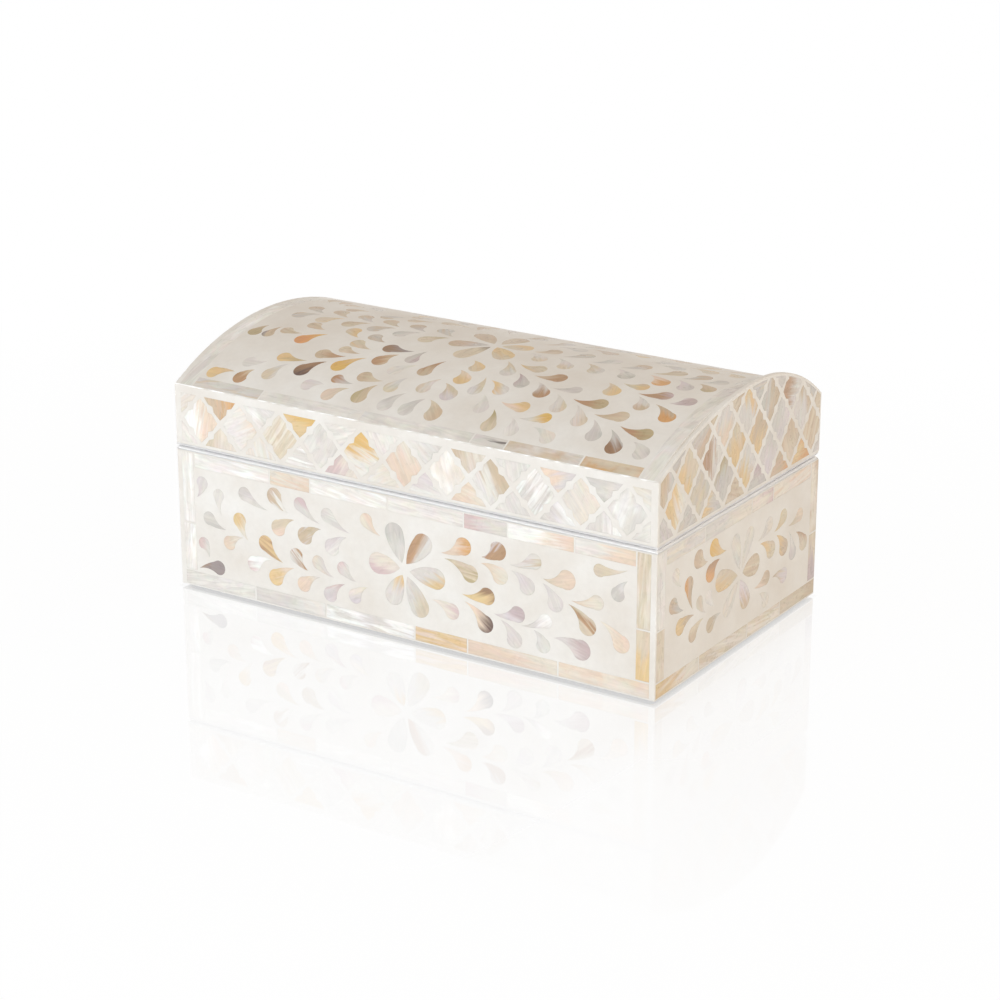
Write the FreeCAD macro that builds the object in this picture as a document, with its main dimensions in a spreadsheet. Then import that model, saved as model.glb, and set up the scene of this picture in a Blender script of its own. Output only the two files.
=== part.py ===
import FreeCAD, Part
import math
import os
import Sketcher

# Domed keepsake box: a wooden carcase faced on every side with mother-of-pearl pieces set
# in cream resin, and a lid on two brass butt hinges let into the seam at the back.
# Millimetres. X runs along the front, Y towards the back and Z up, and the origin lies
# under the middle of the base pad.

os.makedirs("parts", exist_ok=True)
doc = FreeCAD.newDocument("pearl_box")
Vector = FreeCAD.Vector

SIZES = [
    ("box_length", 230, "over the two end panels"),
    ("box_width", 134, "over the front and back panels"),
    ("body_height", 61, "from the base pad to the seam"),
    ("seam_gap", 0.4, "air between the body and the closed lid"),
    ("lid_height", 26.6, "from the seam to the eave"),
    ("dome_rise", 18, "from the eave to the crest of the dome"),
    ("crest_lip", 1.6, "right end panel: its crest above the dome"),
    ("crest_setback", 12, "right end panel: its crest behind the middle"),
    ("board", 8, "side boards of body and lid"),
    ("bottom_board", 6, "bottom of the body"),
    ("top_board", 5, "curved top of the lid"),
    ("skin", 2, "resin with its shell inlay"),
    ("rim", 1.2, "resin strip on the edges that meet at the seam, and hinge leaves"),
    ("rim_round", 1, "rounding of the rims' outer edges"),
    ("edge_round", 0.5, "rounding of the end panels' and the dome's outer edges"),
    ("lining", 1, "cloth on the inner walls"),
    ("floor_cloth", 2, "cloth on the floor"),
    ("pad", 1, "felt under the base"),
    ("pad_inset", 2, "felt set in from the outside"),
    ("border_width", 6, "shell strips round each panel"),
    ("eave_border", 4.6, "shell strips along the dome's long edges, in plan"),
    ("border_inset", 0.6, "resin outside the strips"),
    ("border_joint", 0.7, "resin between strips"),
    ("front_tiles", 11, "lattice tiles along the lid's front"),
    ("end_tiles", 7, "lattice tiles across the lid's end"),
    ("tile_row", 11.2, "height between rows of lattice tiles"),
    ("tile_shift", 2.5, "end lattices, towards the back"),
    ("grout", 2.2, "resin between lattice tiles"),
    ("tile_barb", 0.8, "depth of the notch in each tile's edge"),
    ("lattice_margin", 1.2, "resin outside the lattice"),
    ("notch_depth", 2.2, "V groove along the back of the seam"),
    ("notch_angle", 47.5, "slope of each side of the V groove, in degrees"),
    ("hinge_spread", 130, "between the middles of the hinges"),
    ("hinge_length", 26, "each hinge"),
    ("leaf_width", 7, "from the hinge axis to the leaf's inner edge"),
    ("leaf_play", 0.1, "round each leaf in its recess"),
    ("knuckle_radius", 2, "outside of the knuckles"),
    ("knuckle_length", 9, "middle knuckle, on the lid's leaf"),
    ("knuckle_play", 0.15, "between knuckles"),
    ("knuckle_room", 0.3, "round the knuckles"),
    ("pin_radius", 1, "hinge pin"),
    ("pin_play", 0.05, "round the pin in the middle knuckle"),
    ("screw_radius", 1.1, "screw shank"),
    ("screw_head", 2.1, "countersunk head's radius"),
    ("screw_length", 8, "shank below the leaf"),
    ("screw_spread", 14, "between the two screws of a leaf"),
    ("screw_setback", 4.6, "from the hinge axis to the screws"),
    ("slot_width", 0.5, "screw slot"),
    ("slot_depth", 0.4, "screw slot"),
]

WORKED = [
    ("half_length", "=Sizes.box_length / 2"),
    ("half_width", "=Sizes.box_width / 2"),
    ("wall", "=Sizes.skin + Sizes.board"),
    ("floor_top", "=Sizes.pad + Sizes.bottom_board"),
    ("body_top", "=Sizes.pad + Sizes.body_height"),
    ("body_wall_top", "=body_top - Sizes.rim"),
    ("lid_low", "=body_top + Sizes.seam_gap"),
    ("lid_wall_low", "=lid_low + Sizes.rim"),
    ("eave", "=lid_low + Sizes.lid_height"),
    ("crest", "=eave + Sizes.dome_rise"),
    ("dome_radius", "=(half_width ^ 2 + Sizes.dome_rise ^ 2) / (2 * Sizes.dome_rise)"),
    ("dome_axis", "=crest - dome_radius"),
    ("notch_drop", "=Sizes.notch_depth * tan(Sizes.notch_angle)"),
    ("hinge_y", "=half_width - Sizes.notch_depth"),
    ("hinge_z", "=body_top + Sizes.seam_gap / 2"),
    ("end_knuckle", "=(Sizes.hinge_length - Sizes.knuckle_length) / 2 - Sizes.knuckle_play"),
]

sizes = doc.addObject("Spreadsheet::Sheet", "Sizes")
for row, (name, number, note) in enumerate(SIZES, 1):
    sizes.set(f"A{row}", name)
    sizes.set(f"B{row}", str(number))
    sizes.setAlias(f"B{row}", name)
    sizes.set(f"C{row}", note)
worked = doc.addObject("Spreadsheet::Sheet", "Worked")
for row, (name, rule) in enumerate(WORKED, 1):
    worked.set(f"A{row}", name)
    worked.setAlias(f"B{row}", name)
    worked.set(f"B{row}", rule)
doc.recompute()


def value(name):
    sheet = sizes if name in [entry[0] for entry in SIZES] else worked
    return float(sheet.get(name))


# Solids whose sizes and places are rules on the sheets

pieces = []


def piece(label, item):
    item.Label = label
    pieces.append(item)
    return item


def bind(item, rules):
    for path, rule in rules.items():
        item.setExpression(path, rule)
    return item


def placed(low):
    return {f"Placement.Base.{axis}": rule for axis, rule in zip("xyz", low)}


def block(name, low, size):
    item = doc.addObject("Part::Box", name)
    return bind(item, placed(low) | dict(zip(("Length", "Width", "Height"), size)))


def rod(name, radius, length, low, axis="x"):
    item = doc.addObject("Part::Cylinder", name)
    if axis == "x":
        item.Placement = FreeCAD.Placement(Vector(), FreeCAD.Rotation(Vector(0, 1, 0), 90))
    return bind(item, placed(low) | {"Radius": radius, "Height": length})


def group(name, items):
    item = doc.addObject("Part::Compound", name)
    item.Links = items
    return item


def fuse(name, items):
    item = doc.addObject("Part::MultiFuse", name)
    item.Shapes = items
    return item


def cut(name, base, tool):
    item = doc.addObject("Part::Cut", name)
    item.Base = base
    item.Tool = tool
    return item


def common(name, first, second):
    item = doc.addObject("Part::MultiCommon", name)
    item.Shapes = [first, second]
    return item


# Hinge room: the V groove along the back of the seam, and a round pocket for each hinge.
# The groove's sides are also the stop: they meet when the lid stands just past upright.

HINGES = {"left": -1, "right": 1}

groove = bind(doc.addObject("Part::Wedge", "Groove"), {
    "Xmin": "-Worked.half_length",
    "Xmax": "Worked.half_length",
    "X2min": "-Worked.half_length",
    "X2max": "Worked.half_length",
    "Ymin": "Worked.hinge_y",
    "Ymax": "Worked.half_width + Sizes.notch_depth",
    "Zmin": "Worked.body_top",
    "Zmax": "Worked.lid_low",
    "Z2min": "Worked.body_top - 2 * Worked.notch_drop",
    "Z2max": "Worked.lid_low + 2 * Worked.notch_drop",
})


def hinge_low(side, length):
    return f"{side} * Sizes.hinge_spread / 2 - ({length}) / 2"


pockets = []
for hinge, side in HINGES.items():
    length = "Sizes.hinge_length + 2 * Sizes.knuckle_room"
    low = (hinge_low(side, length), "Worked.hinge_y", "Worked.hinge_z")
    pockets.append(rod(f"Pocket_{hinge}", "Sizes.knuckle_radius + Sizes.knuckle_room", length, low))
hinge_room = fuse("HingeRoom", [groove] + pockets)


# Screws: slotted, countersunk, two through each hinge leaf; up is 1 in the body and -1 in the lid


def screw(name, x, up, seat):
    y = "Worked.hinge_y - Sizes.screw_setback"
    cone = doc.addObject("Part::Cone", name + "_cone")
    bind(cone, {"Radius1": "Sizes.screw_radius" if up > 0 else "Sizes.screw_head",
                "Radius2": "Sizes.screw_head" if up > 0 else "Sizes.screw_radius",
                "Height": "Sizes.rim"})
    bind(cone, placed((x, y, seat if up > 0 else f"{seat} - Sizes.rim")))
    foot = f"{seat} - Sizes.screw_length" if up > 0 else seat
    shank = rod(name + "_shank", "Sizes.screw_radius", "Sizes.screw_length", (x, y, foot), "z")
    whole = fuse(name + "_whole", [cone, shank])
    slot_low = f"{seat} + Sizes.rim - Sizes.slot_depth" if up > 0 else f"{seat} - Sizes.rim"
    slot = block(name + "_slot", (f"{x} - Sizes.screw_head", f"{y} - Sizes.slot_width / 2", slot_low),
                 ("2 * Sizes.screw_head", "Sizes.slot_width", "Sizes.slot_depth"))
    return whole, cut(name, whole, slot)


screw_holes = {}
for part, up, seat in (("body", 1, "Worked.body_wall_top"), ("lid", -1, "Worked.lid_wall_low")):
    holes = []
    screws = []
    for hinge, side in HINGES.items():
        for end in (-1, 1):
            x = f"{side} * Sizes.hinge_spread / 2 + {end} * Sizes.screw_spread / 2"
            whole, slotted = screw(f"Screw_{part}_{hinge}_{end + 1}", x, up, seat)
            holes.append(whole)
            screws.append(slotted)
    screw_holes[part] = group(f"ScrewHoles_{part}", holes)
    piece(f"hinge_{part}_screws", group(f"Screws_{part}", screws))


# Hinges: the leaves lie in the rims, the body's end knuckles hold the pin, and the lid's turns on it

for hinge, side in HINGES.items():
    tongue_width = "Sizes.knuckle_radius + Sizes.knuckle_room"
    tongue_y = f"Worked.hinge_y - ({tongue_width})"
    plate_y = "Worked.hinge_y - Sizes.leaf_width"
    plate_size = ("Sizes.hinge_length", f"Sizes.leaf_width - ({tongue_width})", "Sizes.rim")
    plate_x = hinge_low(side, "Sizes.hinge_length")
    far_end = f"{plate_x} + Sizes.hinge_length - Worked.end_knuckle"
    middle = hinge_low(side, "Sizes.knuckle_length")
    knuckles = {"body": ([plate_x, far_end], "Worked.end_knuckle", "Sizes.pin_radius"),
                "lid": ([middle], "Sizes.knuckle_length", "Sizes.pin_radius + Sizes.pin_play")}
    axis_low = (plate_x, "Worked.hinge_y", "Worked.hinge_z")
    piece(f"hinge_{hinge}_pin", rod(f"Pin_{hinge}", "Sizes.pin_radius", "Sizes.hinge_length", axis_low))
    for part, (starts, length, bore) in knuckles.items():
        name = f"Leaf_{hinge}_{part}"
        low = "Worked.body_wall_top" if part == "body" else "Worked.lid_low"
        solids = [block(name + "_plate", (plate_x, plate_y, low), plate_size)]
        tongue_size = (length, tongue_width, "Sizes.rim")
        for count, start in enumerate(starts):
            solids.append(block(f"{name}_tongue{count}", (start, tongue_y, low), tongue_size))
            axis = (start, "Worked.hinge_y", "Worked.hinge_z")
            solids.append(rod(f"{name}_knuckle{count}", "Sizes.knuckle_radius", length, axis))
        hole = rod(name + "_bore", bore, "Sizes.hinge_length", axis_low)
        bored = cut(name + "_bored", fuse(name + "_solid", solids), hole)
        piece(f"hinge_{hinge}_{part}_leaf", cut(name, bored, screw_holes[part]))


# Body carcase: four boards on a bottom board, over a felt pad

INNER_X = "Worked.half_length - Sizes.skin"
INNER_Y = "Worked.half_width - Sizes.skin"
LINED_X = "Worked.half_length - Worked.wall"
LINED_Y = "Worked.half_width - Worked.wall"

piece("base_pad", block(
    "BasePad",
    ("Sizes.pad_inset - Worked.half_length", "Sizes.pad_inset - Worked.half_width", "0"),
    ("Sizes.box_length - 2 * Sizes.pad_inset", "Sizes.box_width - 2 * Sizes.pad_inset", "Sizes.pad")))
piece("bottom_board", block(
    "BottomBoard",
    (f"-({INNER_X})", f"-({INNER_Y})", "Sizes.pad"),
    (f"2 * ({INNER_X})", f"2 * ({INNER_Y})", "Sizes.bottom_board")))


def side_blocks(name, low, high):
    """Front and back boards over the full length, and end boards between them."""
    height = f"{high} - {low}"
    long_size = (f"2 * ({INNER_X})", "Sizes.board", height)
    end_size = ("Sizes.board", f"2 * ({LINED_Y})", height)
    return {
        "front": block(f"{name}Front", (f"-({INNER_X})", f"-({INNER_Y})", low), long_size),
        "back": block(f"{name}Back", (f"-({INNER_X})", LINED_Y, low), long_size),
        "left": block(f"{name}Left", (f"-({INNER_X})", f"-({LINED_Y})", low), end_size),
        "right": block(f"{name}Right", (LINED_X, f"-({LINED_Y})", low), end_size),
    }


body_boards = side_blocks("BodyBoard", "Worked.floor_top", "Worked.body_wall_top")
for side in ("front", "left", "right"):
    piece(f"body_{side}_board", body_boards[side])
body_back = cut("BodyBackPocketed", body_boards["back"], hinge_room)
piece("body_back_board", cut("BodyBackBoard", body_back, screw_holes["body"]))


# Lid carcase: every layer of the domed top follows the same curve, one thickness lower each time


def dome_rod(name, drop):
    low = ("-Worked.half_length", "0", f"Worked.dome_axis - ({drop})")
    return rod(name, "Worked.dome_radius", "Sizes.box_length", low)


under_skin = dome_rod("UnderSkin", "Sizes.skin")
under_board = dome_rod("UnderBoard", "Sizes.skin + Sizes.top_board")
under_lining = dome_rod("UnderLining", "Sizes.skin + Sizes.top_board + Sizes.lining")

lid_boards = side_blocks("LidBlock", "Worked.lid_wall_low", "Worked.crest")
for side in ("front", "left", "right"):
    piece(f"lid_{side}_board", common(f"LidBoard_{side}", lid_boards[side], under_board))
lid_back = cut("LidBackPocketed", common("LidBackCurved", lid_boards["back"], under_board), hinge_room)
piece("lid_back_board", cut("LidBackBoard", lid_back, screw_holes["lid"]))

top_block = block("TopBlock", (f"-({INNER_X})", f"-({INNER_Y})", "Worked.lid_wall_low"),
                  (f"2 * ({INNER_X})", f"2 * ({INNER_Y})", "Worked.crest - Worked.lid_wall_low"))
piece("lid_top_board", cut("TopBoard", common("TopBoardUpper", top_block, under_skin), under_board))


# Linings: cloth on the floor, the walls and the underside of the dome


def wall_linings(name, low, high):
    height = f"{high} - {low}"
    long_size = (f"2 * ({LINED_X})", "Sizes.lining", height)
    end_size = ("Sizes.lining", f"2 * ({LINED_Y} - Sizes.lining)", height)
    end_y = f"-({LINED_Y}) + Sizes.lining"
    return [
        block(f"{name}Front", (f"-({LINED_X})", f"-({LINED_Y})", low), long_size),
        block(f"{name}Back", (f"-({LINED_X})", f"{LINED_Y} - Sizes.lining", low), long_size),
        block(f"{name}Left", (f"-({LINED_X})", end_y, low), end_size),
        block(f"{name}Right", (f"{LINED_X} - Sizes.lining", end_y, low), end_size),
    ]


piece("floor_lining", block(
    "FloorLining",
    (f"-({LINED_X}) + Sizes.lining", f"-({LINED_Y}) + Sizes.lining", "Worked.floor_top"),
    (f"2 * ({LINED_X} - Sizes.lining)", f"2 * ({LINED_Y} - Sizes.lining)", "Sizes.floor_cloth")))
body_strips = wall_linings("BodyLining", "Worked.floor_top", "Worked.body_wall_top")
piece("body_wall_lining", group("BodyLining", body_strips))

lid_strips = wall_linings("LidLining", "Worked.lid_wall_low", "Worked.crest")
piece("lid_wall_lining", group("LidLining", [common(s.Name + "Curved", s, under_lining) for s in lid_strips]))
dome_cloth = block("DomeCloth", (f"-({LINED_X})", f"-({LINED_Y})", "Worked.lid_wall_low"),
                   (f"2 * ({LINED_X})", f"2 * ({LINED_Y})", "Worked.crest - Worked.lid_wall_low"))
piece("lid_dome_lining", cut("DomeLining", common("DomeLiningUpper", dome_cloth, under_board), under_lining))


# Rims: resin frames on the edges that meet at the seam, let in for the hinges, outer edges rounded


def centred_rectangle(sketch, name, length, width):
    corners = [Vector(-2, -1, 0), Vector(2, -1, 0), Vector(2, 1, 0), Vector(-2, 1, 0)]
    first = sketch.GeometryCount
    for count in range(4):
        sketch.addGeometry(Part.LineSegment(corners[count], corners[(count + 1) % 4]))
    for count in range(4):
        sketch.addConstraint(Sketcher.Constraint("Coincident", first + count, 2, first + (count + 1) % 4, 1))
        way = "Horizontal" if count % 2 == 0 else "Vertical"
        sketch.addConstraint(Sketcher.Constraint(way, first + count))
    sketch.addConstraint(Sketcher.Constraint("Symmetric", first, 1, first + 1, 2, -1, 1))
    for kind, line, start, rule in (("DistanceX", first, 4.0, length), ("DistanceY", first + 1, 2.0, width)):
        index = sketch.addConstraint(Sketcher.Constraint(kind, line, 1, line, 2, start))
        sketch.renameConstraint(index, name + kind)
        sketch.setExpression(f"Constraints.{name}{kind}", rule)


def rim(name, level, rounded_z):
    body = doc.addObject("PartDesign::Body", name + "Frame")
    sketch = body.newObject("Sketcher::SketchObject", name + "Outline")
    plane = [feature for feature in body.Origin.OriginFeatures if feature.Role == "XY_Plane"][0]
    sketch.AttachmentSupport = [(plane, "")]
    sketch.MapMode = "FlatFace"
    centred_rectangle(sketch, "outer", "Sizes.box_length", "Sizes.box_width")
    inner = "2 * (Worked.wall + Sizes.lining)"
    centred_rectangle(sketch, "inner", f"Sizes.box_length - {inner}", f"Sizes.box_width - {inner}")
    frame = body.newObject("PartDesign::Pad", name + "Pad")
    frame.Profile = sketch
    bind(frame, {"Length": "Sizes.rim"})
    doc.recompute()
    outer = []
    for index, edge in enumerate(frame.Shape.Edges, 1):
        box = edge.BoundBox
        reach = max(abs(box.Center.x) - value("half_length"), abs(box.Center.y) - value("half_width"))
        if abs(reach) < 0.01 and box.ZLength < 0.01 and abs(box.Center.z - rounded_z) < 0.01:
            outer.append(f"Edge{index}")
    rounding = body.newObject("PartDesign::Fillet", name + "Rounding")
    rounding.Base = (frame, outer)
    bind(rounding, {"Radius": "Sizes.rim_round"})
    body.Tip = rounding
    bind(body, {"Placement.Base.z": level})
    recesses = []
    for hinge, side in HINGES.items():
        low = (hinge_low(side, "Sizes.hinge_length + 2 * Sizes.leaf_play"),
               "Worked.hinge_y - Sizes.leaf_width - Sizes.leaf_play", level)
        size = ("Sizes.hinge_length + 2 * Sizes.leaf_play", "Sizes.leaf_width + Sizes.leaf_play", "Sizes.rim")
        recesses.append(block(f"{name}Recess_{hinge}", low, size))
    return cut(name, cut(name + "Grooved", body, hinge_room), group(name + "Recesses", recesses))


piece("body_rim", rim("BodyRim", "Worked.body_wall_top", value("rim")))
piece("lid_rim", rim("LidRim", "Worked.lid_low", 0))
doc.recompute()


# Inlay drawing. A leaf is (tail x, tail y, head x, head y, width, bend): its tail, the middle of
# its round head, its width, and the side it bows to, with 0 for a straight, full flower petal.

FULLNESS = 1.07


def leaf_face(leaf, centre, scale, level=0.0):
    """Leaf between three arcs: two sides drawn in to the tail, and a round head."""
    tail_x, tail_y, head_x, head_y, width, bend = leaf
    if bend:
        width *= FULLNESS
    run = math.hypot(head_x - tail_x, head_y - tail_y)
    c = (head_x - tail_x) / run
    s = (head_y - tail_y) / run
    round_from = math.radians(120 if bend else 104)
    sx = run + width / 2 * math.cos(round_from)
    sy = width / 2 * math.sin(round_from)
    thick = 0.16 * width if bend else sy / 2 + 0.12 * width
    bow = 0.13 * width * bend
    outline = [(0, 0), (sx / 2, bow + thick), (sx, sy), (run + width / 2, 0), (sx, -sy),
               (sx / 2, bow - thick)]
    points = []
    for u, v in outline:
        points.append(Vector(centre[0] + scale[0] * (tail_x + u * c - v * s),
                             centre[1] + scale[1] * (tail_y + u * s + v * c), level))
    tail, side, shoulder, tip, other_shoulder, other_side = points
    arcs = [Part.Arc(tail, side, shoulder), Part.Arc(shoulder, tip, other_shoulder),
            Part.Arc(other_shoulder, other_side, tail)]
    return Part.Face(Part.Wire([arc.toShape() for arc in arcs]))


# The three motifs, each in millimetres about its flower, with the field it was drawn for

FRONT_FIELD = (211.4, 45.2)
END_FIELD = (119.4, 45.2)
DOME_FIELD = (211.4, 122.2)


def front_motif():
    flower = [(-1.4, 2.4, -5.1, 14.3, 9, 0), (-2.4, 0, -13, 0, 9.2, 0), (-1.3, -2.6, -5.6, -12.2, 8.4, 0),
              (0.6, 2.4, 8.7, 12.4, 9, 0), (2.2, -0.4, 14.7, -1, 9, 0), (1, -2.8, 6.8, -14.6, 9.2, 0)]
    upper_right = [(17.3, 10.7, 27.8, 15.4, 7, -1), (18.9, 8.6, 31, 4.6, 7, 1),
                   (36.4, 12.9, 43.9, 16.8, 7.2, -1), (36, 10.2, 44.9, 6.8, 7, 1),
                   (49.4, 12.3, 60.6, 15.9, 6.2, -1), (50.1, 10, 57.4, 5, 6.8, 1),
                   (64.6, 9.8, 75.3, 11.4, 7.6, -1), (64.4, 7.9, 70.3, 0.7, 6.8, 1),
                   (77.4, 3.4, 88.9, 5, 5.8, -1), (76.2, 1.7, 84.9, -5.7, 7.2, 1),
                   (90.3, -2.1, 99.9, -9.6, 7, 1), (102.6, 21, 89.9, 18.4, 5, 1),
                   (102.4, 16.6, 98.1, 10.4, 5.6, -1)]
    lower_right = [(12.6, -10.2, 22.4, -13.2, 6.4, 1), (27.2, -4.6, 38.9, -3.2, 6.8, -1),
                   (28.5, -7.5, 38.1, -15, 7, 1), (42.1, -9.7, 53.1, -7.7, 6.4, -1),
                   (45.3, -11.6, 51.7, -18.6, 6.8, 1), (54.8, -12, 66, -7.7, 5.6, -1),
                   (60.4, -12.4, 64.9, -18, 6.2, 1), (69.6, -13.8, 82.1, -16.1, 8, 1)]
    upper_left = [(-11.9, 11.8, -18.7, 17, 5.8, 1), (-26.8, 9.8, -38.1, 15.4, 5.8, 1),
                  (-28.4, 7.7, -35.9, 2.1, 6.8, -1), (-41.9, 10.8, -51.6, 17.4, 5.8, 1),
                  (-41.2, 8.7, -49.4, 4.3, 7, -1), (-57.1, 12.4, -64.6, 18.4, 7, 1),
                  (-54.6, 10, -63, 5, 6.6, -1), (-68.2, 11.5, -80.1, 16.4, 5.8, 1)]
    lower_left = [(-18.4, -11.8, -24.8, -16.8, 6, -1), (-23.8, -10.5, -30.5, -6.1, 5.6, 1),
                  (-29.8, -12.8, -37.2, -18.7, 6.2, -1), (-35.3, -11, -43, -6.1, 5.8, 1),
                  (-42, -12.4, -50.5, -17.1, 6.2, -1), (-48, -10.8, -54.1, -5.4, 6.2, 1),
                  (-55.3, -11.2, -64.8, -17.1, 6.8, -1), (-61, -10, -69.8, -3.2, 6.6, 1),
                  (-67.2, -9.8, -76, -13.4, 6.4, -1)]
    left_corner = [(-78.6, -3.9, -83, 4.3, 6.2, 1), (-81.4, -3.2, -88.7, -6.8, 5.8, -1),
                   (-90.3, -1.4, -99.1, 2, 5.6, 1), (-92.4, 4.4, -93.7, 13.2, 5.2, 1),
                   (-105.2, 10.2, -102.2, 17, 5.4, -1), (-105.2, -21.4, -94.8, -19.2, 6, 1),
                   (-99.8, -15.6, -102.4, -9.8, 5.2, -1)]
    return flower + upper_right + lower_right + upper_left + lower_left + left_corner


def end_motif():
    flower = [(1.9, 0.3, 11.8, 0.7, 9.2, 0), (1.5, 2.4, 7.4, 14.6, 7.2, 0), (-0.8, 2.6, -4.6, 15, 7.4, 0),
              (-2.2, 0.4, -16, 2.7, 9.2, 0), (-1.6, -1.9, -10.2, -10.8, 7.4, 0), (0.4, -2.3, 4.8, -12, 8, 0)]
    right = [(14.3, 9.6, 23.8, 14, 6.2, -1), (16.3, 7.8, 25.9, 2.5, 7, 1), (28.4, 9.2, 36.3, 13.6, 6, -1),
             (30.5, 7.1, 37.2, 0, 7, 1), (40.9, 8, 50.9, 9.8, 5.6, -1), (41.3, 5.6, 45.6, -5, 6, 1),
             (48, 3.2, 55.2, -3.6, 6.6, 1), (12.2, -9.8, 22.6, -8.6, 6, -1), (28, -10.4, 38, -12.5, 6.4, 1),
             (16.8, -13.8, 22.4, -18.2, 6, 1)]
    left = [(-12.2, 14.4, -22.2, 18.6, 7, 1), (-17.4, 12.4, -24.8, 8.9, 7.2, -1),
            (-27.2, 14.6, -34.6, 17.8, 7.2, 1), (-48.4, 11, -52.4, 16.8, 5.4, 1),
            (-38.5, -1.8, -42, 9.6, 6.4, 1), (-45.8, 0.6, -54, 4.9, 6.2, 1),
            (-37.2, -4.4, -48.3, -5.6, 6.6, -1), (-27.8, -6.6, -33.2, -0.6, 5.2, 1),
            (-29.6, -8.2, -38.2, -12.2, 6.2, -1), (-20.2, -6.4, -25.8, -0.6, 5.4, 1),
            (-15.4, -10.8, -24, -13.2, 6, -1)]
    return flower + right + left


def mirrored(leaves, flip_u, flip_v):
    """The same leaves turned over sideways, endways or both; each flip is 1 or -1."""
    turned = flip_u * flip_v
    return [(flip_u * tail_x, flip_v * tail_y, flip_u * head_x, flip_v * head_y, width, turned * bend)
            for tail_x, tail_y, head_x, head_y, width, bend in leaves]


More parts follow.
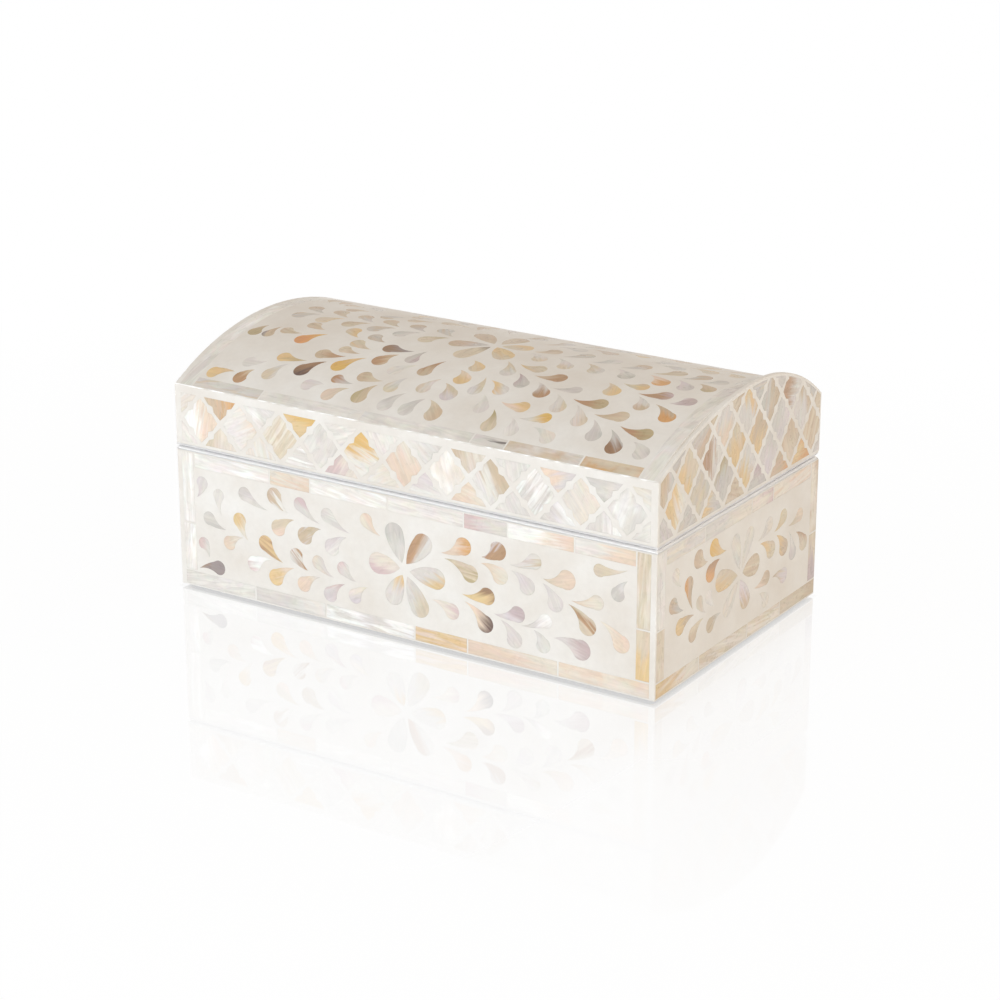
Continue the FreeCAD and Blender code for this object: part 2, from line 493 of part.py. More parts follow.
def dome_motif():
    flower = [(2.4, 0.6, 11.4, 3.4, 8, 0), (1.6, -1.9, 9.6, -9.4, 9.2, 0), (-1, -2.6, -6.4, -14.6, 8.6, 0),
              (-2.4, -0.8, -15.4, -5.2, 7.8, 0), (-2, 1.8, -12.6, 10.2, 8.6, 0),
              (0.8, 2.6, 2.8, 13.4, 8.4, 0)]
    upright = [(1.6, -18.8, 6.2, -24, 6.4, 1), (1.2, -28, 5.8, -34, 7, 1), (1, -38.6, 6.6, -45, 7, 1),
               (1.2, -49.8, 7, -56.6, 7, 1), (-8.6, -23.6, -12.4, -33.8, 6, -1),
               (-2.2, -36.6, -6, -44, 6, -1), (-0.8, -49.8, -5.6, -57, 6.4, -1)]
    middle_right = [(17.4, -1.2, 24.4, -5.6, 6.6, 1), (30.6, -1.2, 38.2, -8.4, 6.6, 1),
                    (44.4, -1.2, 51.6, -7.2, 6.8, 1), (58, -1.2, 65.4, -6.8, 6.8, 1),
                    (73, -1.2, 81.2, -7, 7.2, 1), (86, -1.2, 92.4, -7.6, 6.6, 1),
                    (95, -1.2, 101.4, -5.2, 6, 1)]
    middle_left = [(-21.8, -1.2, -29.6, -7.2, 7, -1), (-35.6, -1.2, -43, -6.4, 6.6, -1),
                   (-48.6, -1.2, -56.4, -6, 6.6, -1), (-61.6, -1.2, -69.4, -6, 6.6, -1),
                   (-75.2, -1.2, -82.6, -6.6, 6.6, -1), (-87.6, -1.2, -95.4, -6, 6.6, -1)]
    slope_right = [(14.6, -13.8, 20.2, -22.8, 6.4, 1), (20.8, -14.4, 30.4, -15.8, 6.4, -1),
                   (25.3, -22.2, 30.8, -29.4, 6.2, 1), (32.1, -21.6, 42.4, -20, 6.6, -1),
                   (36.4, -25.9, 42.4, -33.2, 6.6, 1), (44.6, -28.4, 54.2, -26.8, 5.2, -1),
                   (48.9, -31.8, 54.2, -40, 6.6, 1), (57, -33.2, 68.9, -33.2, 6.8, -1),
                   (60.3, -36, 67, -45.4, 6.4, 1), (70.6, -40, 81.6, -38.4, 6.4, -1),
                   (72.4, -43, 77.2, -51.4, 6.2, 1), (84.6, -43.9, 96.4, -45.8, 6.4, -1),
                   (82.2, -46.6, 88.4, -55.2, 6.6, 1), (94.4, -50.8, 100.4, -55.4, 6.4, 1)]
    corner_right = [(63, -16.2, 68.2, -22.6, 7, 1), (68.6, -14.2, 77, -14.6, 6, -1),
                    (78.8, -20.4, 89.4, -18.4, 6.6, -1), (80.3, -22.6, 85.2, -29.2, 6.2, 1),
                    (94.2, -23.4, 100.6, -19.6, 6.4, -1), (89.8, -26, 99, -33.4, 6.6, 1)]
    front_right = [(14.4, -29.6, 15.4, -39.4, 5.8, 1), (17.8, -31.2, 25.6, -36.4, 6.4, 1),
                   (20.6, -40.8, 24.2, -48.6, 6.2, 1), (30.3, -43.2, 40.3, -44, 6.2, -1),
                   (30.2, -48.2, 33, -56.8, 6, 1), (42.6, -50.2, 52.8, -47.6, 5.6, -1),
                   (40, -50.6, 43.6, -57, 5.8, 1), (51.4, -53.4, 60, -57, 6, 1)]
    slope_left = [(-26.2, -20.4, -37.4, -21.6, 6.6, 1), (-21, -18.4, -23.2, -27, 5.8, -1),
                  (-30.4, -25.4, -35.3, -32, 7, -1), (-44.4, -25.4, -53.4, -22.6, 6.2, 1),
                  (-41.9, -32.2, -49.8, -40.6, 6.8, -1), (-51, -33.6, -62, -35, 6.4, 1),
                  (-56.4, -39.6, -63.6, -47.2, 7, -1), (-65.4, -41.2, -77, -41.8, 5.6, 1),
                  (-71.8, -45.4, -76.2, -53, 6.2, -1), (-82, -46, -89.6, -48.6, 5.8, 1),
                  (-84, -52.4, -87.6, -57.6, 6, -1), (-92, -55.4, -101.4, -57.8, 5.6, -1)]
    corner_left = [(-70.4, -19.8, -78, -27.4, 6.8, -1), (-56.6, -17.6, -62.6, -12.4, 6.4, 1),
                   (-81.6, -22.8, -89.6, -22.8, 5.4, 1), (-93.6, -20.4, -95.6, -28, 5.2, -1),
                   (-99.8, -21.2, -102.2, -28.4, 5.8, -1), (-42.8, -17.4, -50.2, -14.4, 6, 1),
                   (-74.4, -16.2, -81.8, -13.8, 6, 1)]
    front_left = [(-25, -44.6, -34.6, -44.2, 6, 1), (-25.6, -47.4, -29.4, -55.4, 6.6, -1),
                  (-36.2, -49.4, -45.2, -48.4, 4.8, 1), (-36.4, -52.4, -43.2, -57.4, 6, -1),
                  (-48.4, -53, -55.4, -54.6, 5.8, -1), (-10.8, -48.8, -15.8, -56.8, 6.4, -1),
                  (-15.9, -39.8, -19.6, -47.2, 6, -1), (-17.2, -30.6, -25, -36.8, 6, -1),
                  (-46.6, -30, -55.2, -29, 5, 1)]
    near_half = middle_right + middle_left + upright + slope_right + corner_right + front_right
    near_half += slope_left + corner_left + front_left
    return flower + near_half + mirrored(near_half, 1, -1)


# Shares of each edge that its shell strips take, from left to right or bottom to top

FRONT_STRIPS = ((37, 36, 44, 25, 42, 41), (39, 20, 38, 36, 20, 30, 27))
END_STRIPS = ((34, 40, 28, 31), (30, 38, 18, 33))
UPRIGHT_STRIPS = (2, 3)
DOME_FRONT_STRIPS = (34, 50, 53, 15, 34, 26)
DOME_BACK_STRIPS = (45, 33, 56, 34, 44)
DOME_END_STRIPS = (3, 4, 3, 4)


# Flat shapes of the panels, drawn as seen from outside: u to the right, v up


def rectangle(u0, v0, u1, v1, level=0.0):
    corners = [Vector(u0, v0, level), Vector(u1, v0, level), Vector(u1, v1, level), Vector(u0, v1, level)]
    return Part.Face(Part.makePolygon(corners + corners[:1]))


def strip(u0, v0, u1, v1, shares, level=0.0):
    """Shell strips end to end along the longer way, their lengths in the given shares."""
    gap = value("border_joint")
    upright = v1 - v0 > u1 - u0
    total = (v1 - v0 if upright else u1 - u0) - gap * (len(shares) - 1)
    start = v0 if upright else u0
    strips = []
    for share in shares:
        end = start + total * share / sum(shares)
        corners = (u0, start, u1, end) if upright else (start, v0, end, v1)
        strips.append(rectangle(*corners, level))
        start = end + gap
    return strips


def border(half, low, high, bottom_shares, top_shares):
    """Strips round a body panel, and the field left inside them as centre and size."""
    inset = value("border_inset")
    width = value("border_width")
    gap = value("border_joint")
    u1 = half - inset
    u0 = u1 - width
    v0 = low + inset
    v1 = high - inset
    strips = strip(-u1, v0, u1, v0 + width, bottom_shares)
    strips += strip(-u0 + gap, v1 - width, u0 - gap, v1, top_shares)
    strips += strip(-u1, v0 + width + gap, -u0, v1, UPRIGHT_STRIPS)
    strips += strip(u0, v0 + width + gap, u1, v1, UPRIGHT_STRIPS)
    field = (2 * (u0 - gap), v1 - v0 - 2 * (width + gap))
    return strips, (0, (v0 + v1) / 2), field


def fitted(leaves, drawn, centre, field, level=0.0):
    scale = (field[0] / drawn[0], field[1] / drawn[1])
    return [leaf_face(leaf, centre, scale, level) for leaf in leaves]


def arch(half, low, eave, crest_u, crest_v):
    """Upright end with a top of two arcs that meet level at the crest."""
    def between(end):
        run = end - crest_u
        rise = crest_v - eave
        radius = (run * run + rise * rise) / (2 * rise)
        lean = math.asin(run / radius) / 2
        return Vector(crest_u + radius * math.sin(lean), crest_v - radius + radius * math.cos(lean), 0)
    foot_left = Vector(-half, low, 0)
    foot_right = Vector(half, low, 0)
    eave_right = Vector(half, eave, 0)
    eave_left = Vector(-half, eave, 0)
    top = Vector(crest_u, crest_v, 0)
    front_curve = Part.Arc(top, between(-half), eave_left).toShape()
    back_curve = Part.Arc(eave_right, between(half), top).toShape()
    edges = [Part.makeLine(foot_left, foot_right), Part.makeLine(foot_right, eave_right), back_curve,
             front_curve, Part.makeLine(eave_left, foot_left)]
    return Part.Face(Part.Wire(edges))


def lattice(field, count, middle, shift):
    """Lozenge tiles with a notch in each edge, in staggered rows, trimmed to the field."""
    box = field.BoundBox
    half_pitch = box.XLength / count / 2
    row = value("tile_row")
    barb = value("tile_barb")
    slant = math.hypot(half_pitch, row)
    shrink = 1 - value("grout") / 2 * slant / (half_pitch * row)
    smallest = 0.06 * half_pitch * row
    points = [(half_pitch * shrink, 0), (0, row * shrink), (-half_pitch * shrink, 0), (0, -row * shrink)]
    outline = []
    for (u0, v0), (u1, v1) in zip(points, points[1:] + points[:1]):
        out = (math.copysign(row, u0 + u1) / slant, math.copysign(half_pitch, v0 + v1) / slant)
        for share, lift in ((0, 0), (0.34, 0.5), (0.5, -1), (0.66, 0.5)):
            outline.append((u0 + (u1 - u0) * share + out[0] * lift * barb,
                            v0 + (v1 - v0) * share + out[1] * lift * barb))
    tiles = []
    rows = math.ceil((box.YMax - middle) / row) + 1
    for step_v in range(-rows, rows + 1):
        for step_u in range(-1, count + 2):
            u = box.XMin + shift + half_pitch * (2 * step_u + 1 - step_v % 2)
            v = middle + row * step_v
            if v - row > box.YMax or v + row < box.YMin:
                continue
            corners = [Vector(u + du, v + dv, 0) for du, dv in outline]
            tile = Part.Face(Part.makePolygon(corners + corners[:1])).common(field)
            tiles += [face for face in tile.Faces if face.Area > smallest]
    return tiles


# Panels: resin cut by its inlays, so that each piece of shell fills its own hole

TURNS = {"front": 0, "right": 90, "back": 180, "left": 270}


def facing(side):
    """Placement that stands a flat drawing on one side of the box, its back against the boards."""
    half = value("half_width") if side in ("front", "back") else value("half_length")
    upright = FreeCAD.Placement(Vector(0, value("skin") - half, 0), FreeCAD.Rotation(Vector(1, 0, 0), 90))
    return FreeCAD.Placement(Vector(), FreeCAD.Rotation(Vector(0, 0, 1), TURNS[side])).multiply(upright)


def solid_feature(label, shape, placement=FreeCAD.Placement()):
    item = doc.addObject("Part::Feature", label)
    item.Shape = shape
    item.Placement = placement
    return piece(label, item)


def one_shape(solids):
    return solids[0] if len(solids) == 1 else Part.Compound(solids)


def rounded(solid, chosen):
    return solid.makeFillet(value("edge_round"), [edge for edge in solid.Edges if chosen(edge)])


def on_outer_rim(edge, outline):
    """Upright and arched edges round the outer face of an end panel, and not its level ones."""
    box = edge.BoundBox
    outside = box.ZMin > value("skin") / 2
    level = box.YLength < value("edge_round")
    middle = edge.valueAt((edge.FirstParameter + edge.LastParameter) / 2)
    middle.z = 0
    on_rim = outline.OuterWire.distToShape(Part.Vertex(middle))[0] < 0.01
    return outside and not level and on_rim


def panel(name, side, outline, inlays, kept_under=None):
    """Resin panel on one side, with its groups of inlay, all trimmed for the hinges."""
    placement = facing(side)
    room = hinge_room.Shape.copy()
    room.Placement = placement.inverse().multiply(room.Placement)
    thick = Vector(0, 0, value("skin"))
    resin = outline.cut([face for faces in inlays.values() for face in faces]).extrude(thick)
    if kept_under:
        curve = kept_under.Shape.copy()
        curve.Placement = placement.inverse().multiply(curve.Placement)
        resin = resin.common(curve)
    if side in ("left", "right"):
        resin = rounded(resin.Solids[0], lambda edge: on_outer_rim(edge, outline))
    groups = {"resin": resin.Solids}
    for label, faces in inlays.items():
        groups[label] = [face.extrude(thick) for face in faces]
    for label, solids in groups.items():
        kept = []
        for solid in solids:
            reached = solid.BoundBox.intersect(room.BoundBox)
            kept += solid.cut(room).Solids if reached else [solid]
        solid_feature(f"{name}_{label}", one_shape(kept), placement)


body_low = value("pad")
body_high = value("body_wall_top")
lid_low = value("lid_wall_low")
margin = value("lattice_margin")
for side in TURNS:
    along_front = side in ("front", "back")
    half = value("half_length") - value("skin") if along_front else value("half_width")
    shares = FRONT_STRIPS if along_front else END_STRIPS
    strips, centre, field = border(half, body_low, body_high, *shares)
    motif = front_motif() if along_front else end_motif()
    drawn = FRONT_FIELD if along_front else END_FIELD
    if side == "left":
        motif = mirrored(motif, -1, 1)
    leaves = fitted(motif, drawn, centre, field)
    outline = rectangle(-half, body_low, half, body_high)
    panel(f"body_{side}", side, outline, {"border": strips, "petals": leaves})

    eave = value("eave")
    if along_front:
        run = value("half_width")
        curve_end = value("dome_axis") - value("skin") + math.sqrt(value("dome_radius") ** 2 - run ** 2)
        high = curve_end - margin
        outline = rectangle(-half, lid_low, half, eave)
        tile_field = rectangle(margin - half, lid_low + margin, half - margin, high)
        tiles = lattice(tile_field, int(value("front_tiles")), (lid_low + margin + high) / 2, 0)
        panel(f"lid_{side}", side, outline, {"tiles": tiles}, under_skin)
    else:
        setback = value("crest_setback") if side == "right" else 0
        crest = value("crest") + (value("crest_lip") if side == "right" else 0)
        outline = arch(half, lid_low, eave, setback, crest)
        tile_field = arch(half - margin, lid_low + margin, eave - margin / 2, setback, crest - margin)
        shift = value("tile_shift") if side == "right" else -value("tile_shift")
        tiles = lattice(tile_field, int(value("end_tiles")), lid_low + margin + value("tile_row"), shift)
        panel(f"lid_{side}", side, outline, {"tiles": tiles})


# Dome: the curved resin face is parted along the upright walls of its inlays, and each part
# is thickened straight down

skin = value("skin")
half_x = value("half_length") - skin
half_y = value("half_width")
inset = value("border_inset")
gap = value("border_joint")
end_x = half_x - inset - value("border_width")
eave_y = half_y - inset - value("eave_border")
under = value("eave") - value("dome_rise")
crest_line = Vector(-half_x, 0, value("crest"))
eave_line = [Vector(-half_x, way * half_y, value("eave")) for way in (-1, 1)]
dome_face = Part.Arc(eave_line[0], crest_line, eave_line[1]).toShape().extrude(Vector(2 * half_x, 0, 0))

dome_strips = strip(gap - end_x, inset - half_y, end_x - gap, -eave_y, DOME_FRONT_STRIPS, under)
dome_strips += strip(gap - end_x, eave_y, end_x - gap, half_y - inset, DOME_BACK_STRIPS, under)
for way in (-1, 1):
    across = sorted((way * end_x, way * (half_x - inset)))
    dome_strips += strip(across[0], inset - half_y, across[1], half_y - inset, DOME_END_STRIPS, under)
dome_field = (2 * (end_x - gap), 2 * (eave_y - gap))
dome_leaves = fitted(dome_motif(), DOME_FIELD, (0, 0), dome_field, under)

up = Vector(0, 0, 3 * value("dome_rise"))
walls = []
for outline in dome_strips + dome_leaves:
    walls += [edge.extrude(up) for edge in outline.Edges]
parted = dome_face.generalFuse(walls)[1][0]
parted.sort(key=lambda face: -face.Area)
strip_boxes = [outline.BoundBox for outline in dome_strips]


def in_a_strip(face):
    middle = face.CenterOfMass
    return any(box.XMin < middle.x < box.XMax and box.YMin < middle.y < box.YMax for box in strip_boxes)


def lies_on_eave(edge):
    box = edge.BoundBox
    level = box.YLength < 0.01 and box.ZLength < 0.01
    return level and abs(abs(box.Center.y) - half_y) < 0.01 and abs(box.Center.z - value("eave")) < 0.01


thin = Vector(0, 0, -skin)
solid_feature("dome_resin", rounded(parted[0].extrude(thin), lies_on_eave))
solid_feature("dome_border", one_shape([face.extrude(thin) for face in parted[1:] if in_a_strip(face)]))
solid_feature("dome_petals", one_shape([face.extrude(thin) for face in parted[1:] if not in_a_strip(face)]))


# Check every object, then write one file for each piece

doc.recompute()
for item in doc.Objects:
    if "Invalid" in item.State or "Error" in item.State:
        raise RuntimeError(f"{item.Name} failed to build")
for item in pieces:
    if item.Shape.isNull() or not item.Shape.isValid():
        raise RuntimeError(f"{item.Label} has no valid shape")
for item in pieces:
    item.Shape.exportStep(f"parts/{item.Label}.step")
    print(f"{item.Label}: {len(item.Shape.Solids)} solids, {item.Shape.Volume:.1f} mm3")
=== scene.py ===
import math
import random

import bpy
import numpy as np
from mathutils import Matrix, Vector


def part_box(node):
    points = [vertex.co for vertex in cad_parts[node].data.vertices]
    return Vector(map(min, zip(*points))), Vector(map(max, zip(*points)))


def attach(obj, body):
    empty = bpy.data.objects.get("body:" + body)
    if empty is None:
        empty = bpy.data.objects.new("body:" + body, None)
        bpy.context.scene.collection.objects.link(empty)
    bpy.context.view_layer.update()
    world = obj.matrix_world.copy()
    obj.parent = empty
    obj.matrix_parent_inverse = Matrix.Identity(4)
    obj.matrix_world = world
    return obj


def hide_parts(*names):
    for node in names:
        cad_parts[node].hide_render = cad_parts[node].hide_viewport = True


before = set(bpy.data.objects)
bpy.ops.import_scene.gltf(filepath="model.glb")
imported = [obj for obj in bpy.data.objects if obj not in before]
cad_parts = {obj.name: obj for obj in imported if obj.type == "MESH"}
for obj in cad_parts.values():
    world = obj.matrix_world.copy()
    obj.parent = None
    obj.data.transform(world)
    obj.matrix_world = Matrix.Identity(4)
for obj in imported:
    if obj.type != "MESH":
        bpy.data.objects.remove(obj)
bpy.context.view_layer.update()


# The carcase: a bottom board, four walls below and four above, and the bent board under the dome.
# Pale fine-grained hardwood, glued at the corners. The grain runs along the box.

SIDES = ("front", "back", "left", "right")


def linear(red, green, blue):
    """A colour as seen on a screen, 0 to 255, in the light values that a shader takes."""
    return tuple(((c / 255 + 0.055) / 1.055) ** 2.4 for c in (red, green, blue)) + (1.0,)


def add(tree, kind, inputs=(), **settings):
    """A shader node with its settings made, and its sockets set or joined up."""
    made = tree.nodes.new("ShaderNode" + kind)
    for name, setting in settings.items():
        setattr(made, name, setting)
    for socket, source in dict(inputs).items():
        if isinstance(source, bpy.types.NodeSocket):
            tree.links.new(source, made.inputs[socket])
        else:
            made.inputs[socket].default_value = source
    return made


def new_finish(name, numbers):
    """A material, its node tree and its Principled shader, with plain numbers on the shader."""
    material = bpy.data.materials.new(name)
    material.use_nodes = True
    tree = material.node_tree
    shader = tree.nodes["Principled BSDF"]
    for socket, number in numbers.items():
        shader.inputs[socket].default_value = number
    return material, tree, shader


def noise(tree, place, scale, detail, **more):
    """A value that drifts over the surface, as a socket."""
    clouds = add(tree, "TexNoise", {"Vector": place, "Scale": scale, "Detail": detail, **more})
    return clouds.outputs["Fac"]


def ranged(tree, value, low, high, to_low=0.0, to_high=1.0, **more):
    """A value carried from one range to another, as a socket."""
    return add(tree, "MapRange", {"Value": value, "From Min": low, "From Max": high, "To Min": to_low,
                                  "To Max": to_high}, **more).outputs[0]


def mixed(tree, share, first, second, blend="MIX"):
    """Two colours mixed by a share, as one colour socket."""
    node = add(tree, "Mix", {0: share, 6: first, 7: second}, data_type="RGBA", blend_type=blend)
    return node.outputs[2]


def shaded(tree, colour, value, low, high, darkest, brightest):
    """A colour made darker and brighter by a value."""
    return mixed(tree, 1.0, colour, ranged(tree, value, low, high, darkest, brightest), "MULTIPLY")


def emboss(tree, shader, height, strength, depth, **under):
    """Fine relief on a finish, from a height that varies over it."""
    bump = add(tree, "Bump", {"Strength": strength, "Distance": depth, "Height": height, **under})
    tree.links.new(bump.outputs["Normal"], shader.inputs["Normal"])


def refinish(material, *names):
    """One finish on every face of these solids."""
    for name in names:
        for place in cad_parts[name].material_slots:
            place.material = material


def all_round(kind):
    """The names of one kind of piece on the four sides of the body and of the lid."""
    return [f"{part}_{side}_{kind}" for part in ("body", "lid") for side in SIDES]


wood, tree, shader = new_finish("pale_hardwood", {"Roughness": 0.58})
place = add(tree, "TexCoord").outputs["Object"]
stretched = add(tree, "Mapping", {"Vector": place, "Scale": (14, 190, 190)}).outputs["Vector"]
grain = noise(tree, stretched, scale=1.0, detail=6.0, Distortion=0.6)
pores = noise(tree, stretched, scale=7.0, detail=2.0)
board = mixed(tree, ranged(tree, grain, 0.34, 0.66), linear(196, 160, 116), linear(222, 192, 150))
board = shaded(tree, board, pores, 0.3, 0.42, 0.82, 1.0)
tree.links.new(board, shader.inputs["Base Color"])
emboss(tree, shader, pores, strength=0.25, depth=0.0003)
refinish(wood, "bottom_board", "lid_top_board", *all_round("board"))


# Felt glued under the bottom board, so that the box doesn't scratch a table: a sheet of dark grey
# wool felt a millimetre thick, cut with rounded corners.

FELT_CORNER = 0.0025
FELT_PRESSED = 0.0002
ON_EDGE = 1e-6


def deselect():
    """Nothing stays selected, so that the next operator acts on its own piece alone."""
    for each in bpy.context.selected_objects:
        each.select_set(False)


def worked(tree, operation, first, second):
    """Two values worked into one, as a socket."""
    return add(tree, "Math", {0: first, 1: second}, operation=operation).outputs[0]


def cloth_finish(name, low, high, thread, fuzz):
    """Soft cloth: a tone that wanders between two colours, a fine pile and a pale sheen."""
    material, tree, shader = new_finish(name, {"Roughness": 0.95, "Sheen Weight": fuzz,
                                               "Sheen Roughness": 0.5, "Specular IOR Level": 0.15})
    place = add(tree, "TexCoord").outputs["Object"]
    nap = noise(tree, place, scale=thread, detail=4.0, Roughness=0.7)
    brushed = noise(tree, place, scale=thread / 40, detail=3.0)
    share = ranged(tree, worked(tree, "ADD", nap, brushed), 0.75, 1.25)
    tree.links.new(mixed(tree, share, low, high), shader.inputs["Base Color"])
    emboss(tree, shader, nap, strength=0.5, depth=0.0004)
    return material


def soft_sheet(name, node, material, body):
    """The active mesh becomes the sheet that stands for a plain solid of the box."""
    sheet = bpy.context.object
    sheet.name = name
    sheet.data.name = name
    bpy.ops.object.shade_smooth_by_angle(angle=math.radians(50))
    sheet.data.materials.clear()
    sheet.data.materials.append(material)
    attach(sheet, body)
    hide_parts(node)
    return sheet


def flat_sheet(low, high, columns, rows):
    """A grid of quads over a box seen from above, halfway up it, with its place in its mesh."""
    deselect()
    bpy.ops.mesh.primitive_grid_add(x_subdivisions=columns, y_subdivisions=rows, size=1,
                                    location=(low + high) / 2)
    bpy.context.object.scale = (high.x - low.x, high.y - low.y, 1)
    bpy.ops.object.transform_apply(location=True, rotation=True, scale=True)


def thicken(thickness, offset=0):
    """The active mesh gets a thickness, on both sides of its face or on one."""
    wall = bpy.context.object.modifiers.new("thickness", "SOLIDIFY")
    wall.thickness = thickness
    wall.offset = offset
    bpy.ops.object.modifier_apply(modifier="thickness")


felt_low, felt_high = (Vector(corner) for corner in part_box("base_pad"))
flat_sheet(felt_low, felt_high, columns=56, rows=32)
bpy.ops.object.mode_set(mode="EDIT")
bpy.ops.mesh.select_all(action="DESELECT")
bpy.ops.object.mode_set(mode="OBJECT")
for point in bpy.context.object.data.vertices:
    at_end = abs(abs(point.co.x) - felt_high.x) < ON_EDGE
    at_side = abs(abs(point.co.y) - felt_high.y) < ON_EDGE
    point.select = at_end and at_side
bpy.ops.object.mode_set(mode="EDIT")
bpy.ops.mesh.bevel(offset=FELT_CORNER, segments=4, affect="VERTICES")
bpy.ops.object.mode_set(mode="OBJECT")
thicken(felt_high.z - felt_low.z - FELT_PRESSED)
felt = cloth_finish("wool_felt", linear(62, 60, 60), linear(88, 86, 84), thread=2600, fuzz=0.25)
pad = soft_sheet("felt_pad", "base_pad", felt, "body")


# The linings: ivory cotton velvet glued over the floor and walls of the well, and inside the lid up
# the walls and over the hollow of the dome. Cut flat, with raw edges tucked under the rims.

DOME_RADIUS = 0.1337
LINING = 0.0009
LINING_ROOM = 0.001
FLOOR_PLAY = 0.0006
EDGE_PLAY = 0.0002
DOME_PLAY = 0.0001
WALL_ROWS = 14

velvet = cloth_finish("ivory_velvet", linear(206, 192, 172), linear(228, 217, 200), thread=1800,
                      fuzz=0.5)


def uneven(amount, size):
    """A slight lift and fall all over the active mesh, as cloth has over glue."""
    bumps = bpy.data.textures.new("uneven", "CLOUDS")
    bumps.noise_scale = size
    lift = bpy.context.object.modifiers.new("uneven", "DISPLACE")
    lift.texture = bumps
    lift.texture_coords = "LOCAL"
    lift.strength = amount
    lift.mid_level = 0.5
    bpy.ops.object.modifier_apply(modifier="uneven")


def under_dome(y, crest):
    """Height under the dome at a distance from the middle line, for a layer with this crest."""
    return crest - DOME_RADIUS + math.sqrt(DOME_RADIUS ** 2 - y * y)


floor_low, floor_high = (Vector(corner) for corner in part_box("floor_lining"))
flat_sheet(floor_low, floor_high, columns=104, rows=56)
thicken(floor_high.z - floor_low.z - FLOOR_PLAY)
uneven(amount=0.0005, size=0.02)
floor_cloth = soft_sheet("floor_velvet", "floor_lining", velvet, "body")


def wall_cloth(name, node, body, crest=None):
    """A band of cloth round four walls, cut to the dome's curve at its top where a crest is given."""
    low, high = (Vector(corner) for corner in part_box(node))
    flat_sheet(low, high, columns=70, rows=38)
    bpy.ops.object.mode_set(mode="EDIT")
    bpy.ops.mesh.select_all(action="SELECT")
    bpy.ops.mesh.region_to_loop()
    bpy.ops.mesh.select_all(action="INVERT")
    bpy.ops.mesh.delete(type="VERT")
    bpy.ops.mesh.select_all(action="SELECT")
    bpy.ops.transform.translate(value=(0, 0, low.z - (low.z + high.z) / 2))
    rise = (high.z - low.z) / WALL_ROWS
    for _ in range(WALL_ROWS):
        bpy.ops.mesh.extrude_region_move(TRANSFORM_OT_translate={"value": (0, 0, rise)})
    bpy.ops.mesh.select_all(action="SELECT")
    bpy.ops.mesh.remove_doubles(threshold=ON_EDGE)
    bpy.ops.mesh.normals_make_consistent(inside=False)
    bpy.ops.object.mode_set(mode="OBJECT")
    if crest:
        for point in bpy.context.object.data.vertices:
            share = (point.co.z - low.z) / (high.z - low.z)
            top = min(high.z, under_dome(point.co.y, crest)) - EDGE_PLAY
            point.co.z = low.z + share * (top - low.z)
    thicken(LINING, offset=-1)
    return soft_sheet(name, node, velvet, body)


body_band = wall_cloth("body_wall_velvet", "body_wall_lining", "body")
lid_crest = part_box("lid_dome_lining")[1][2] - LINING_ROOM
lid_band = wall_cloth("lid_wall_velvet", "lid_wall_lining", "lid", lid_crest)

dome_low, dome_high = (Vector(corner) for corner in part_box("lid_dome_lining"))
flat_sheet(dome_low, dome_high, columns=84, rows=48)
for point in bpy.context.object.data.vertices:
    point.co.z = under_dome(point.co.y, dome_high.z) - LINING_ROOM / 2
thicken(LINING - DOME_PLAY)
dome_cloth = soft_sheet("dome_velvet", "lid_dome_lining", velvet, "lid")


# The resin skins: cream resin two millimetres thick, poured round the pieces of shell on each side,
# on the dome and between the lattice tiles, then ground flat and lacquered.

resin, tree, shader = new_finish("cream_resin", {"Coat Weight": 0.12, "Coat Roughness": 0.07,
                                                 "Specular IOR Level": 0.2})
place = add(tree, "TexCoord").outputs["Object"]
clouds = noise(tree, place, scale=34.0, detail=3.0, Roughness=0.55)
dust = noise(tree, place, scale=420.0, detail=4.0, Roughness=0.6)
cream = mixed(tree, ranged(tree, clouds, 0.3, 0.7), linear(225, 220, 213), linear(236, 235, 232))
cream = shaded(tree, cream, dust, 0.3, 0.7, 0.975, 1.015)
tree.links.new(cream, shader.inputs["Base Color"])
tree.links.new(ranged(tree, dust, 0.3, 0.7, 0.42, 0.58), shader.inputs["Roughness"])
emboss(tree, shader, dust, strength=0.12, depth=0.0003)
refinish(resin, "dome_resin", *all_round("resin"))


# Shell on the body: leaves, petals and border strips of mother-of-pearl, sawn thin, set in the
# resin and ground flush with it. Each piece is cut from its own shell, so no two tones are alike.

SHELL = {
    "white": (244, 244, 242), "pearl": (230, 227, 222), "silver": (218, 214, 209),
    "smoke": (204, 200, 195), "lilac": (216, 208, 209), "rose": (213, 192, 191),
    "mauve": (196, 180, 181), "dusk": (160, 149, 147), "cream": (228, 220, 208),
    "peach": (228, 209, 191), "sand": (214, 201, 180), "gold": (222, 195, 150),
    "honey": (222, 184, 114), "amber": (214, 166, 114), "orange": (218, 158, 110),
    "olive": (188, 173, 140), "tan": (203, 184, 160), "brown": (184, 150, 120),
    "umber": (158, 128, 102), "char": (112, 93, 86), "soot": (64, 54, 48),
}
BRIGHTEST = 250
WAVER = 0.015
GRAIN = 10
LAYS = ["clouds", "streaks", None, None]
ACROSS_AND_UP = {
    "front": ((1, 0, 0), (0, 0, 1)), "back": ((-1, 0, 0), (0, 0, 1)),
    "right": ((0, 1, 0), (0, 0, 1)), "left": ((0, -1, 0), (0, 0, 1)),
    "dome": ((1, 0, 0), (0, 1, 0)),
}


